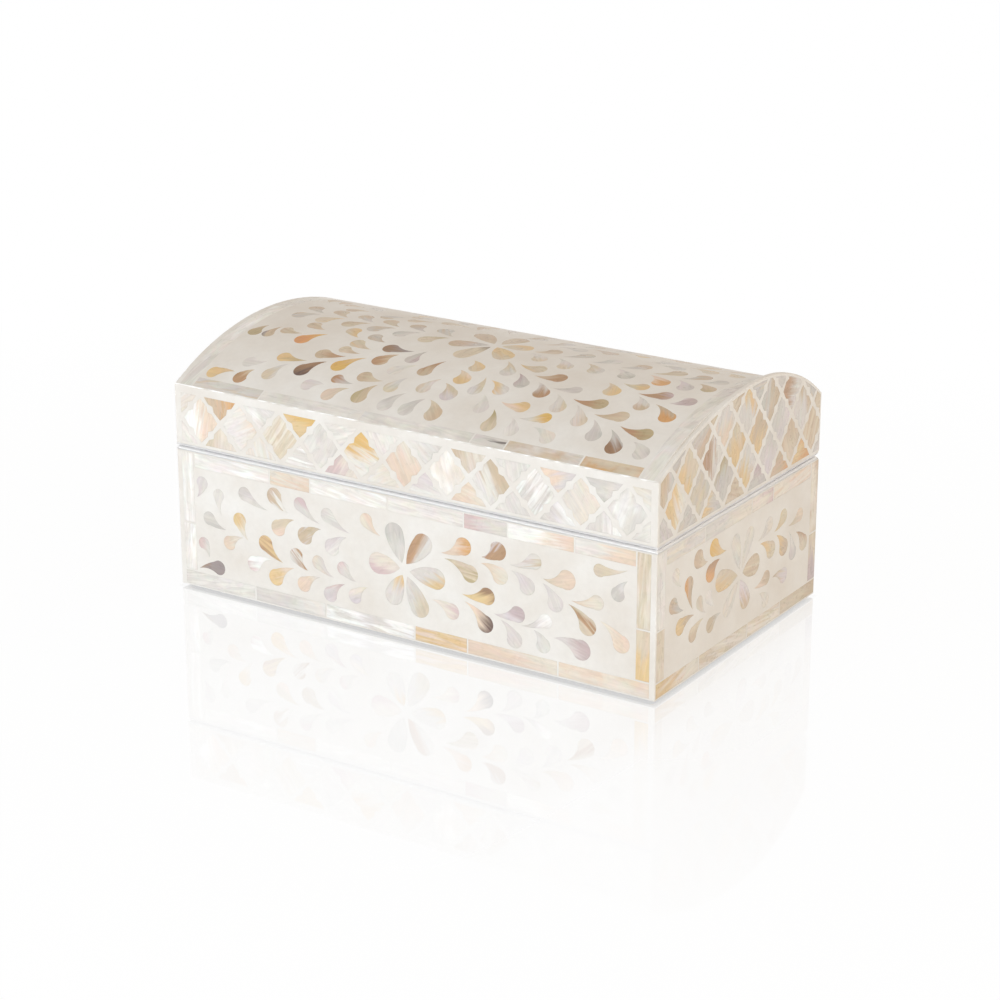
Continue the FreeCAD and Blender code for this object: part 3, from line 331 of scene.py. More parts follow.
def nacre_group():
    """Mother-of-pearl: two tones in clouds, streaks or a fade, growth lines, a faint play of colour."""
    group = bpy.data.node_groups.new("nacre", "ShaderNodeTree")
    for name, kind in (("Tint", "Color"), ("Blush", "Color"), ("Lay", "Vector"), ("Fading", "Float"),
                       ("Slope", "Float"), ("Grain", "Vector")):
        group.interface.new_socket(name, in_out="INPUT", socket_type="NodeSocket" + kind)
    for name, kind in (("Colour", "Color"), ("Gloss", "Float"), ("Height", "Float")):
        group.interface.new_socket(name, in_out="OUTPUT", socket_type="NodeSocket" + kind)
    given = group.nodes.new("NodeGroupInput").outputs
    amount, streak, seed = add(group, "SeparateXYZ", {0: given["Lay"]}).outputs

    def layers(scale, detail, distortion, output="Fac"):
        spread = add(group, "Mapping", {"Vector": given["Grain"], "Scale": scale}).outputs["Vector"]
        cloud = add(group, "TexNoise", {"Vector": spread, "W": seed, "Scale": 1.0, "Detail": detail,
                                        "Distortion": distortion}, noise_dimensions="4D")
        return cloud.outputs[output]

    soft = layers((0.9, 1.5, 1), detail=2.0, distortion=0.5)
    bands = layers((0.5, 4.5, 1), detail=2.0, distortion=0.9)
    faded = worked(group, "ADD", ranged(group, given["Slope"], 0.0, 1.0, 0.22, 0.78),
                   ranged(group, bands, 0.3, 0.7, -0.15, 0.15))
    pattern = add(group, "Mix", {0: streak, 2: soft, 3: bands}).outputs[0]
    pattern = add(group, "Mix", {0: given["Fading"], 2: pattern, 3: faded}).outputs[0]
    edge = ranged(group, streak, 0.0, 1.0, 0.17, 0.1)
    middle = ranged(group, amount, 0.0, 1.0, 0.78, 0.22)
    mask = ranged(group, pattern, worked(group, "SUBTRACT", middle, edge),
                  worked(group, "ADD", middle, edge), interpolation_type="SMOOTHSTEP")
    colour = mixed(group, mask, given["Tint"], given["Blush"])
    sheen = layers((0.6, 5.5, 1), detail=2.0, distortion=1.4)
    lines = layers((0.8, 13.0, 1), detail=2.0, distortion=0.5)
    clouds = layers((2.2, 3.4, 1), detail=3.0, distortion=0.8)
    colour = shaded(group, colour, sheen, 0.32, 0.68, 0.93, 1.055)
    colour = shaded(group, colour, lines, 0.3, 0.7, 0.975, 1.025)
    colour = shaded(group, colour, clouds, 0.3, 0.7, 0.98, 1.025)
    hues = layers((0.9, 1.8, 1), detail=2.0, distortion=1.2, output="Color")
    play = add(group, "VectorMath", {0: hues, 1: (2, 2, 2)}, operation="MULTIPLY").outputs[0]
    faint = 0.07
    colour = mixed(group, faint, colour, mixed(group, 1.0, colour, play, "MULTIPLY"))
    result = group.nodes.new("NodeGroupOutput").inputs
    group.links.new(colour, result["Colour"])
    group.links.new(ranged(group, clouds, 0.3, 0.7, 0.22, 0.4), result["Gloss"])
    group.links.new(worked(group, "ADD", lines, clouds), result["Height"])
    return group


nacre = nacre_group()


def shell_finish(name, relief, lacquer, gloss, edge):
    """The lacquered shell: the nacre fed by each piece's own tones and grain."""
    material, tree, shader = new_finish(name, {"Coat Weight": lacquer, "Coat Roughness": 0.05,
                                               "Specular IOR Level": gloss})
    tones = add(tree, "Group", node_tree=nacre)
    for socket, attribute, output in (("Tint", "tint", "Color"), ("Blush", "blush", "Color"),
                                      ("Lay", "lay", "Color"), ("Fading", "lay", "Alpha"),
                                      ("Slope", "slope", "Fac")):
        source = add(tree, "Attribute", attribute_name=attribute)
        tree.links.new(source.outputs[output], tones.inputs[socket])
    tree.links.new(add(tree, "UVMap", uv_map="grain").outputs["UV"], tones.inputs["Grain"])
    tree.links.new(tones.outputs["Colour"], shader.inputs["Base Color"])
    tree.links.new(tones.outputs["Gloss"], shader.inputs["Roughness"])
    edges = add(tree, "Bevel", {"Radius": edge}, samples=4).outputs["Normal"]
    emboss(tree, shader, tones.outputs["Height"], relief, depth=0.0004, Normal=edges)
    return material


def merged_copy(node, name):
    """A copy of a solid's mesh with its loose triangles merged, as the active object."""
    deselect()
    piece = bpy.data.objects.new(name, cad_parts[node].data.copy())
    bpy.context.collection.objects.link(piece)
    bpy.context.view_layer.objects.active = piece
    piece.select_set(True)
    bpy.ops.mesh.customdata_custom_splitnormals_clear()
    bpy.ops.object.mode_set(mode="EDIT")
    bpy.ops.mesh.select_all(action="SELECT")
    bpy.ops.mesh.remove_doubles(threshold=1e-7)
    bpy.ops.mesh.select_all(action="DESELECT")
    bpy.ops.object.mode_set(mode="OBJECT")
    return piece


def islands(mesh):
    """For each point, the number of the separate piece that it belongs to."""
    parent = list(range(len(mesh.vertices)))

    def root(point):
        while parent[point] != point:
            parent[point] = parent[parent[point]]
            point = parent[point]
        return point

    for edge in mesh.edges:
        parent[root(edge.vertices[0])] = root(edge.vertices[1])
    return np.unique([root(point) for point in range(len(parent))], return_inverse=True)[1]


def shell_inlay(node, side, body, material, mix, chosen=(), turn=0.35, seed=1):
    """Shell in place of one inlay node, each piece with its own tones and lay of growth lines.

    A piece has a tint, a blush, the blush's share, and how the blush lies: "clouds", "streaks" or a
    fade towards an angle on that side. chosen names pieces by their middle in millimetres there."""
    inlay = merged_copy(node, node + "_shell")
    bpy.ops.object.shade_smooth_by_angle(angle=math.radians(35))
    mesh = inlay.data
    points = np.empty(len(mesh.vertices) * 3)
    mesh.vertices.foreach_get("co", points)
    flat = 1000 * points.reshape(-1, 3) @ np.array(ACROSS_AND_UP[side], float).T
    piece = islands(mesh)
    tint, blush, lay = (np.ones((len(flat), 4)) for _ in range(3))
    slope = np.zeros(len(flat))
    grain = np.zeros((len(flat), 2))
    outlines = [flat[piece == n] for n in range(piece.max() + 1)]
    middles = np.array([(outline.min(0) + outline.max(0)) / 2 for outline in outlines])
    picked = {int(np.hypot(*(middles - (u, v)).T).argmin()): tones for u, v, *tones in chosen}
    draw = random.Random(seed)
    for n in sorted(range(len(middles)), key=lambda n: tuple(middles[n].round(1))):
        mine = piece == n
        spread = flat[mine] - middles[n]
        first, second, share, lies = picked.get(n) or (*draw.choice(mix), draw.choice(LAYS))
        no_angle = lies is None or isinstance(lies, str)
        towards = math.radians(draw.uniform(0, 360) if no_angle else lies)
        waver = 1 + draw.uniform(-WAVER, WAVER)
        tint[mine] = linear(*(min(BRIGHTEST, waver * c) for c in SHELL[first]))
        blush[mine] = linear(*(min(BRIGHTEST, waver * c) for c in SHELL[second]))
        lay[mine] = (share, lies == "streaks", draw.uniform(0, 10), not isinstance(lies, str))
        along = spread @ (math.cos(towards), math.sin(towards))
        slope[mine] = (along - along.min()) / (along.max() - along.min())
        axis = np.linalg.eigh(np.cov(spread.T))[1][:, 1]
        angle = math.atan2(axis[1], axis[0]) + draw.uniform(-turn, turn)
        turned = np.array([(math.cos(angle), -math.sin(angle)), (math.sin(angle), math.cos(angle))])
        grain[mine] = spread @ turned / GRAIN
        grain[mine] += (draw.uniform(4, 40), draw.uniform(4, 40))
    for name, kind, field, values in (("tint", "FLOAT_COLOR", "color", tint),
                                      ("blush", "FLOAT_COLOR", "color", blush),
                                      ("lay", "FLOAT_COLOR", "color", lay),
                                      ("slope", "FLOAT", "value", slope)):
        mesh.attributes.new(name, kind, "POINT").data.foreach_set(field, values.ravel())
    corners = np.empty(len(mesh.loops), int)
    mesh.loops.foreach_get("vertex_index", corners)
    while mesh.uv_layers:
        mesh.uv_layers.remove(mesh.uv_layers[0])
    mesh.uv_layers.new(name="grain").data.foreach_set("uv", grain[corners].ravel())
    mesh.materials.clear()
    mesh.materials.append(material)
    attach(inlay, body)
    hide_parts(node)


PALE = [
    ("silver", "pearl", 0.5), ("pearl", "silver", 0.5), ("silver", "lilac", 0.5),
    ("lilac", "silver", 0.4), ("cream", "silver", 0.5), ("silver", "cream", 0.5),
]
WARM = PALE + [
    ("sand", "cream", 0.5), ("peach", "cream", 0.5), ("gold", "sand", 0.5), ("tan", "sand", 0.5),
    ("sand", "brown", 0.3), ("smoke", "silver", 0.5), ("brown", "gold", 0.5), ("mauve", "lilac", 0.5),
]
BANDS = [
    ("pearl", "silver", 0.5), ("cream", "sand", 0.5), ("cream", "peach", 0.5), ("silver", "pearl", 0.5),
    ("sand", "gold", 0.4), ("cream", "silver", 0.5),
]
FRONT_LEAVES = [
    (-102, 46, "silver", "lilac", 0.4, 180), (-78, 47, "silver", "smoke", 0.5, 90),
    (-62, 47, "tan", "pearl", 0.5, "streaks"), (-48, 46, "silver", "rose", 0.55, 70),
    (-34, 44, "silver", "pearl", 0.4, "streaks"), (-16, 46, "cream", "peach", 0.5, 45),
    (-61, 37, "peach", "sand", 0.5, 110), (-47, 36, "lilac", "tan", 0.5, "streaks"),
    (-32, 35, "pearl", "lilac", 0.5, 120), (-82, 33, "cream", "gold", 0.5, 150),
    (-87, 25, "cream", "peach", 0.55, 225), (-96, 32, "silver", "smoke", 0.4, 270),
    (-93, 41, "pearl", "silver", 0.4, "clouds"), (-103, 20, "silver", "rose", 0.35, 150),
    (-97, 11, "dusk", "brown", 0.2, 200), (-66, 26, "brown", "gold", 0.5, "streaks"),
    (-73, 19, "white", "rose", 0.2, 235), (-61, 16, "peach", "gold", 0.5, 215),
    (-53, 25, "pearl", "brown", 0.55, "streaks"), (-49, 14, "silver", "peach", 0.6, 200),
    (-40, 25, "silver", "peach", 0.4, "clouds"), (-34, 14, "lilac", "rose", 0.4, 60),
    (-28, 24, "silver", "rose", 0.2, 150), (-22, 16, "cream", "lilac", 0.5, 270),
    (-4, 43, "silver", "smoke", 0.4, 90), (-9, 32, "cream", "rose", 0.4, 250),
    (-5, 22, "silver", "gold", 0.2, 70), (6, 41, "silver", "brown", 0.45, 150),
    (11, 30, "silver", "gold", 0.28, 310), (5, 19, "silver", "sand", 0.5, 0),
    (25, 46, "peach", "amber", 0.3, 15), (27, 36, "sand", "olive", 0.45, "streaks"),
    (42, 46, "lilac", "brown", 0.5, "streaks"), (43, 38, "peach", "cream", 0.4, 0),
    (58, 46, "silver", "tan", 0.35, "streaks"), (56, 37, "lilac", "silver", 0.5, "clouds"),
    (73, 42, "peach", "sand", 0.5, 200), (69, 34, "silver", "lilac", 0.5, "clouds"),
    (86, 35, "cream", "peach", 0.5, 180), (82, 28, "sand", "brown", 0.5, "streaks"),
    (97, 24, "peach", "cream", 0.5, 160), (94, 51, "sand", "cream", 0.4, 0),
    (99, 42, "smoke", "silver", 0.5, 45), (18, 18, "cream", "rose", 0.3, 30),
    (36, 27, "gold", "umber", 0.4, 60), (36, 18, "peach", "char", 0.3, 0),
    (50, 22, "lilac", "mauve", 0.25, 45), (49, 15, "silver", "lilac", 0.5, "clouds"),
    (63, 23, "silver", "white", 0.45, 70), (63, 15, "silver", "pearl", 0.4, "clouds"),
    (79, 15, "lilac", "mauve", 0.4, 0),
]
FRONT_STRIPS = [
    (-94, 4, "silver", "pearl", 0.5, "streaks"), (-57, 4, "silver", "pearl", 0.4, 0),
    (-17, 4, "silver", "white", 0.55, "streaks"), (18, 4, "gold", "peach", 0.55, "streaks"),
    (52, 4, "cream", "peach", 0.6, 180), (93, 4, "cream", "peach", 0.5, "clouds"),
    (-86, 58, "pearl", "white", 0.4, "streaks"), (-56, 58, "cream", "peach", 0.5, "streaks"),
    (-27, 58, "pearl", "white", 0.4, "streaks"), (10, 58, "pearl", "silver", 0.5, "streaks"),
    (38, 58, "silver", "rose", 0.4, 180), (63, 58, "white", "peach", 0.35, 0),
    (92, 58, "pearl", "peach", 0.5, 0), (110, 45, "cream", "sand", 0.5, "streaks"),
    (110, 15, "sand", "gold", 0.4, 270), (-110, 45, "pearl", "white", 0.4, "streaks"),
    (-110, 15, "pearl", "white", 0.4, "streaks"),
]
END_LEAVES = [
    (8, 31, "tan", "sand", 0.4, "streaks"), (6, 44, "silver", "cream", 0.5, "clouds"),
    (-5, 43, "silver", "cream", 0.4, "clouds"), (-12, 33, "sand", "gold", 0.5, 250),
    (-8, 22, "cream", "silver", 0.5, "clouds"), (5, 22, "lilac", "tan", 0.3, 280),
    (23, 44, "cream", "silver", 0.5, "clouds"), (25, 35, "gold", "sand", 0.5, 0),
    (36, 43, "sand", "gold", 0.5, 200), (36, 33, "gold", "tan", 0.5, 0),
    (49, 41, "sand", "peach", 0.5, 0), (45, 30, "silver", "smoke", 0.4, 270),
    (53, 29, "sand", "brown", 0.3, 90), (20, 23, "peach", "tan", 0.4, 0),
    (35, 20, "lilac", "tan", 0.5, 180), (20, 14, "cream", "silver", 0.4, "clouds"),
    (-18, 48, "gold", "honey", 0.4, 180), (-23, 41, "brown", "amber", 0.45, 250),
    (-34, 48, "tan", "sand", 0.45, 0), (-52, 46, "silver", "cream", 0.5, "clouds"),
    (-42, 37, "tan", "amber", 0.5, 180), (-52, 36, "tan", "smoke", 0.5, 0),
    (-46, 27, "tan", "gold", 0.45, 180), (-34, 30, "sand", "silver", 0.5, "clouds"),
    (-36, 20, "tan", "sand", 0.5, 90), (-24, 30, "pearl", "silver", 0.5, "clouds"),
    (-22, 19, "tan", "smoke", 0.4, 45),
]
END_STRIPS = [
    (-50, 4, "cream", "gold", 0.4, 180), (-12, 4, "cream", "sand", 0.5, "streaks"),
    (23, 4, "sand", "cream", 0.5, "streaks"), (52, 4, "sand", "tan", 0.4, 0),
    (-47, 58, "cream", "silver", 0.5, "streaks"), (-14, 58, "silver", "cream", 0.4, 0),
    (16, 58, "cream", "rose", 0.3, 0), (43, 58, "cream", "peach", 0.4, "streaks"),
    (-64, 45, "pearl", "silver", 0.4, "streaks"), (-64, 15, "cream", "sand", 0.5, "clouds"),
    (64, 45, "cream", "tan", 0.4, "clouds"), (64, 15, "sand", "mauve", 0.5, 270),
]
inlaid = shell_finish("mother_of_pearl", relief=0.02, lacquer=0.4, gloss=0.3, edge=0.0005)
shell_inlay("body_front_petals", "front", "body", inlaid, PALE, FRONT_LEAVES, seed=11)
shell_inlay("body_front_border", "front", "body", inlaid, PALE, FRONT_STRIPS, turn=0.2, seed=12)
shell_inlay("body_right_petals", "right", "body", inlaid, WARM, END_LEAVES, seed=13)
shell_inlay("body_right_border", "right", "body", inlaid, WARM, END_STRIPS, turn=0.2, seed=14)
shell_inlay("body_back_petals", "back", "body", inlaid, WARM, seed=15)
shell_inlay("body_back_border", "back", "body", inlaid, BANDS, turn=0.2, seed=16)
shell_inlay("body_left_petals", "left", "body", inlaid, WARM, seed=17)
shell_inlay("body_left_border", "left", "body", inlaid, BANDS, turn=0.2, seed=18)


# The lattice round the lid: barbed lozenges of shell between narrow lines of resin. On the long
# sides they are thick and lustrous, and keep some of the shell's own curl, so they catch the light
# unevenly. On the ends they are ground flat.

# The white blushes in this mix are partly white shell and partly painted glints on the lustrous tiles.
LUSTRE = [
    ("silver", "pearl", 0.5), ("silver", "white", 0.4), ("cream", "pearl", 0.5),
    ("lilac", "pearl", 0.5), ("silver", "peach", 0.4), ("smoke", "pearl", 0.6), ("pearl", "cream", 0.5),
    ("peach", "pearl", 0.5),
]
GABLE = [
    ("tan", "smoke", 0.5), ("smoke", "lilac", 0.4), ("sand", "tan", 0.5), ("lilac", "smoke", 0.5),
    ("smoke", "sand", 0.4), ("tan", "sand", 0.5),
]
# The white blushes on these tiles are partly white shell and partly painted glints, as at the left of
# the first tile.
FRONT_TILES = [
    (-103, 76, "peach", "white", 0.45, 180), (-103, 68, "pearl", "silver", 0.4, "clouds"),
    (-91, 83, "tan", "amber", 0.35, 0), (-81, 76, "pearl", "peach", 0.3, 0),
    (-92, 68, "cream", "sand", 0.5, 180), (-61, 75, "cream", "sand", 0.5, "streaks"),
    (-52, 84, "gold", "honey", 0.45, 60), (-42, 76, "silver", "pearl", 0.4, "clouds"),
    (-32, 68, "cream", "rose", 0.5, 180), (-22, 77, "pearl", "honey", 0.5, 95),
    (-2, 75, "cream", "peach", 0.6, 250), (18, 76, "cream", "white", 0.5, "clouds"),
    (38, 76, "pearl", "tan", 0.5, 40), (58, 76, "silver", "white", 0.45, "streaks"),
    (29, 68, "cream", "peach", 0.6, 180), (28, 83, "cream", "tan", 0.5, 180),
    (78, 76, "cream", "silver", 0.4, 180), (98, 76, "silver", "white", 0.4, "clouds"),
    (68, 84, "lilac", "peach", 0.5, 180), (-12, 84, "pearl", "lilac", 0.4, "clouds"),
    (8, 84, "pearl", "silver", 0.5, 0), (48, 68, "silver", "pearl", 0.4, "clouds"),
    (68, 68, "silver", "white", 0.45, 0), (88, 84, "silver", "smoke", 0.4, "clouds"),
]
GABLE_TILES = [
    (-51, 77, "gold", "pearl", 0.4, 0), (-45, 88, "sand", "gold", 0.4, 225),
    (-6, 88, "gold", "sand", 0.4, 90), (12, 88, "tan", "gold", 0.4, 270),
    (40, 96, "silver", "brown", 0.5, 180), (47, 67, "gold", "amber", 0.4, 0),
    (-28, 66, "smoke", "gold", 0.4, 180), (-25, 88, "silver", "brown", 0.45, 180),
    (53, 86, "silver", "tan", 0.25, 45), (-61, 84, "smoke", "tan", 0.5, 180),
    (29, 67, "tan", "amber", 0.35, 0), (10, 66, "smoke", "mauve", 0.5, 90),
    (-14, 77, "smoke", "olive", 0.25, 100), (2, 76, "silver", "gold", 0.4, 250),
    (21, 77, "smoke", "lilac", 0.5, 270), (39, 76, "tan", "sand", 0.5, 270),
    (-33, 97, "tan", "smoke", 0.4, 120), (-15, 97, "silver", "peach", 0.5, 270),
    (5, 97, "silver", "gold", 0.3, 60), (30, 88, "smoke", "lilac", 0.4, 0),
    (-34, 77, "sand", "smoke", 0.5, "clouds"),
]
lustrous = shell_finish("lustrous_shell", relief=0.22, lacquer=0.8, gloss=0.4, edge=0.0005)
shell_inlay("lid_front_tiles", "front", "lid", lustrous, LUSTRE, FRONT_TILES, turn=1.6, seed=21)
shell_inlay("lid_right_tiles", "right", "lid", inlaid, GABLE, GABLE_TILES, turn=0.5, seed=22)
shell_inlay("lid_back_tiles", "back", "lid", lustrous, LUSTRE + GABLE, turn=1.6, seed=23)
shell_inlay("lid_left_tiles", "left", "lid", inlaid, GABLE, turn=0.5, seed=24)


# Shell on the dome: sprays of leaves round a flower, and strips along the four edges. Warmer and
# darker pieces than on the front, bent to the curve before they are ground.

DOME_MIX = [
    ("sand", "tan", 0.5), ("tan", "smoke", 0.5), ("smoke", "tan", 0.4), ("smoke", "silver", 0.4),
    ("tan", "sand", 0.5), ("sand", "gold", 0.3),
]
DOME_LEAVES = [
    (8, 3, "sand", "gold", 0.5, 45), (8, -8, "sand", "gold", 0.5, 75),
    (-5, -12, "sand", "char", 0.13, 60), (-11, -4, "smoke", "tan", 0.5, 180),
    (4, -21, "sand", "gold", 0.45, 45), (4, -32, "gold", "peach", 0.4, 90),
    (5, -43, "sand", "lilac", 0.5, 270), (6, -54, "sand", "tan", 0.5, 0),
    (-12, -30, "tan", "brown", 0.5, 90), (21, -4, "silver", "sand", 0.4, 270),
    (36, -6, "silver", "sand", 0.4, 270), (51, -4, "sand", "silver", 0.4, 0),
    (64, -5, "silver", "smoke", 0.5, 270), (79, -6, "peach", "amber", 0.5, 330),
    (90, -6, "smoke", "lilac", 0.5, "clouds"), (99, -3, "tan", "olive", 0.4, 270),
    (-29, -6, "sand", "olive", 0.45, 45), (19, -20, "silver", "sand", 0.5, 90),
    (29, -27, "smoke", "mauve", 0.4, 180), (39, -21, "tan", "brown", 0.5, 0),
    (42, -31, "silver", "brown", 0.5, 300), (51, -28, "smoke", "silver", 0.5, "streaks"),
    (53, -38, "silver", "sand", 0.5, 0), (64, -33, "olive", "brown", 0.5, 200),
    (65, -42, "silver", "sand", 0.4, 0), (78, -39, "tan", "sand", 0.4, 0),
    (76, -48, "silver", "smoke", 0.5, 270), (92, -46, "olive", "brown", 0.55, 200),
    (87, -53, "smoke", "umber", 0.5, 250), (99, -54, "silver", "smoke", 0.4, "clouds"),
    (67, -22, "sand", "gold", 0.55, 0), (87, -19, "brown", "mauve", 0.3, 45),
    (84, -27, "silver", "tan", 0.35, 270), (100, -20, "lilac", "mauve", 0.6, 0),
    (97, -31, "tan", "amber", 0.45, 270), (26, -35, "silver", "gold", 0.5, 200),
    (38, -44, "peach", "gold", 0.5, 45), (49, -48, "silver", "honey", 0.4, 20),
    (33, -54, "sand", "olive", 0.35, 100), (18, -35, "silver", "sand", 0.5, 45),
    (-36, -22, "umber", "dusk", 0.5, 20), (-36, -30, "tan", "brown", 0.55, 180),
    (-47, -38, "gold", "honey", 0.6, 240), (-59, -35, "tan", "brown", 0.5, 0),
    (-62, -45, "umber", "char", 0.4, 300), (-74, -42, "gold", "olive", 0.5, 0),
    (-87, -56, "tan", "brown", 0.6, 250), (-97, -57, "tan", "gold", 0.5, 200),
    (-76, -25, "honey", "orange", 0.45, 225), (-60, -13, "sand", "gold", 0.6, 20),
    (-92, -25, "tan", "dusk", 0.35, 190), (-104, -26, "tan", "olive", 0.5, 270),
    (-31, -44, "sand", "tan", 0.4, 180), (-29, -52, "tan", "olive", 0.5, 180),
    (-43, -48, "smoke", "brown", 0.4, 180), (-41, -55, "peach", "sand", 0.5, 0),
    (-53, -53, "silver", "lilac", 0.5, "clouds"), (-14, -54, "silver", "smoke", 0.5, "clouds"),
    (-18, -44, "silver", "sand", 0.4, 270), (-88, -48, "silver", "pearl", 0.4, "clouds"),
    (-75, -51, "silver", "sand", 0.4, 225), (-25, -37, "silver", "cream", 0.4, "clouds"),
    (-23, -26, "smoke", "mauve", 0.4, 0), (43, -55, "silver", "pearl", 0.4, "clouds"),
    (59, -57, "silver", "cream", 0.4, "clouds"), (-3, -56, "silver", "smoke", 0.4, "clouds"),
    (24, -48, "silver", "pearl", 0.4, "clouds"), (-6, -42, "sand", "silver", 0.5, "clouds"),
]
DOME_STRIPS = [
    (-90, -64, "silver", "sand", 0.4, "streaks"), (-48, -64, "pearl", "silver", 0.4, "clouds"),
    (4, -64, "pearl", "silver", 0.5, "clouds"), (38, -64, "silver", "soot", 0.22, "streaks"),
    (62, -64, "silver", "tan", 0.45, "clouds"), (95, -64, "sand", "amber", 0.4, "clouds"),
]
END_BANDS = [
    ("pearl", "silver", 0.5), ("pearl", "white", 0.4), ("silver", "pearl", 0.5),
]
satin = shell_finish("satin_shell", relief=0.02, lacquer=0.05, gloss=0.12, edge=0.0)
shell_inlay("dome_petals", "dome", "lid", satin, DOME_MIX, DOME_LEAVES, seed=31)
shell_inlay("dome_border", "dome", "lid", satin, END_BANDS, DOME_STRIPS, turn=0.2, seed=32)


# The rims: a narrow half-round moulding of pale lacquered resin on each edge where the lid meets
# the body, glued on over the boards and the skins.

ON_SEAM = 1e-5
HINGE_SIDE = 0.055

rim, tree, shader = new_finish("pale_rim", {"Coat Weight": 0.6, "Coat Roughness": 0.04, "Roughness": 0.3,
                                            "Subsurface Weight": 1.0, "Subsurface Radius": (1, 1, 1),
                                            "Subsurface Scale": 0.002})
place = add(tree, "TexCoord").outputs["Object"]
share = ranged(tree, noise(tree, place, scale=60.0, detail=3.0), 0.35, 0.65)
pale = mixed(tree, share, linear(233, 233, 236), linear(241, 241, 243))
tree.links.new(pale, shader.inputs["Base Color"])


def closed_rim(node, body, seam, lift):
    """A rim whose seam face is moved by lift towards the other rim, except along the hinges."""
    moulding = merged_copy(node, node + "_moulding")
    for point in moulding.data.vertices:
        point.select = abs(point.co.z - seam) < ON_SEAM and point.co.y < HINGE_SIDE
    bpy.ops.object.mode_set(mode="EDIT")
    bpy.ops.transform.translate(value=(0, 0, lift))
    bpy.ops.object.mode_set(mode="OBJECT")
    bpy.ops.object.shade_smooth_by_angle(angle=math.radians(35))
    moulding.data.materials.clear()
    moulding.data.materials.append(rim)
    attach(moulding, body)
    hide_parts(node)


closed_rim("body_rim", "body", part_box("body_rim")[1][2], lift=0.00012)
closed_rim("lid_rim", "lid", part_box("lid_rim")[0][2], lift=-0.00013)


# The eave: a thin bead of lacquer along the sharp front edge of the dome, uneven in thickness so
# that it shines in dashes. Its near-white colour is a painted highlight along the eave, and its
# glossy coat catches real reflections of the lamps.

EAVE = Vector((0, -0.06644, 0.08896))
BEAD = 0.00054
BEAD_START = -0.1144
BRUSH_STEP = 0.0022
BRUSH_STEPS = 104

deselect()
bpy.ops.mesh.primitive_circle_add(vertices=10, radius=BEAD, fill_type="NGON", location=EAVE,
                                  rotation=(0, math.pi / 2, 0))
bpy.ops.object.transform_apply(location=True, rotation=True, scale=True)
bead = bpy.context.object
bpy.ops.object.mode_set(mode="EDIT")
bpy.ops.mesh.select_all(action="SELECT")
bpy.ops.transform.translate(value=(BEAD_START, 0, 0))
uneven_lacquer = random.Random(5)
thick = 1.0
for _ in range(BRUSH_STEPS):
    thinner = uneven_lacquer.uniform(0.45, 1.0)
    bpy.ops.mesh.extrude_region_move(TRANSFORM_OT_translate={"value": (BRUSH_STEP, 0, 0)})
    bpy.ops.transform.resize(value=(1, thinner / thick, thinner / thick))
    thick = thinner
bpy.ops.mesh.select_all(action="SELECT")
bpy.ops.mesh.normals_make_consistent(inside=False)
bpy.ops.object.mode_set(mode="OBJECT")
bpy.ops.object.shade_smooth_by_angle(angle=math.radians(60))
bead.name = "eave_highlight_bead"
# The near-white base colour is a painted highlight along the eave.
lacquer, tree, shader = new_finish("painted_highlight_lacquer", {"Base Color": linear(251, 251, 250),
                                                       "Roughness": 0.12, "Coat Weight": 1.0,
                                                       "Coat Roughness": 0.03})
place = add(tree, "TexCoord").outputs["Object"]
emboss(tree, shader, noise(tree, place, scale=160.0, detail=2.0), strength=0.3, depth=0.0005)
bead.data.materials.append(lacquer)
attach(bead, "lid")


# Two small butt hinges of drawn brass, let into the back walls, each with a brass pin and
# countersunk screws. Tarnished in patches, with fine scratches along the drawn metal.

brass, tree, shader = new_finish("tarnished_brass", {"Metallic": 1.0})
place = add(tree, "TexCoord").outputs["Object"]
drawn = add(tree, "Mapping", {"Vector": place, "Scale": (60, 900, 900)}).outputs["Vector"]
scratches = noise(tree, drawn, scale=1.0, detail=4.0)
tarnish = ranged(tree, noise(tree, place, scale=260.0, detail=4.0, Roughness=0.65), 0.35, 0.7)
metal = mixed(tree, tarnish, linear(226, 186, 108), linear(170, 126, 66))
tree.links.new(metal, shader.inputs["Base Color"])
tree.links.new(ranged(tree, scratches, 0.3, 0.7, 0.2, 0.42), shader.inputs["Roughness"])
emboss(tree, shader, scratches, strength=0.15, depth=0.0002)
hinges = [f"hinge_{side}_{part}" for side in ("left", "right")
          for part in ("body_leaf", "lid_leaf", "pin")]
refinish(brass, "hinge_body_screws", "hinge_lid_screws", *hinges)


# The studio: a glossy white table top that fades into a white background, a large soft lamp at the
# front left, weaker warm ones at the right and behind, and the camera where the photograph was taken.

TABLE_SIZE = 12
TABLE_HEIGHT = -0.0003
FOOTPRINT = (0.115, 0.067, 1)

deselect()
bpy.ops.mesh.primitive_plane_add(size=TABLE_SIZE, location=(0, 0, TABLE_HEIGHT))
table = bpy.context.object
table.name = "table_top"
bpy.ops.object.transform_apply(location=True, rotation=True, scale=True)
top, tree, shader = new_finish("white_table", {"Base Color": (0.9, 0.9, 0.9, 1), "Roughness": 0.4})
place = add(tree, "TexCoord").outputs["Object"]
outside = add(tree, "VectorMath", {0: place}, operation="ABSOLUTE").outputs[0]
outside = add(tree, "VectorMath", {0: outside, 1: FOOTPRINT}, operation="SUBTRACT").outputs[0]
outside = add(tree, "VectorMath", {0: outside, 1: (0, 0, 0)}, operation="MAXIMUM").outputs[0]
away = add(tree, "VectorMath", {0: outside}, operation="LENGTH").outputs["Value"]
near = ranged(tree, away, 0.0, 0.002, 0.86, 0.96, interpolation_type="SMOOTHSTEP")
far = ranged(tree, away, 0.02, 0.35)
fade = add(tree, "Mix", {0: far, 2: near, 3: 1.0}).outputs[0]
path = add(tree, "LightPath").outputs
seen = worked(tree, "MULTIPLY", fade, path["Is Camera Ray"])
mirrored = worked(tree, "MAXIMUM", path["Is Glossy Ray"], path["Is Transmission Ray"])
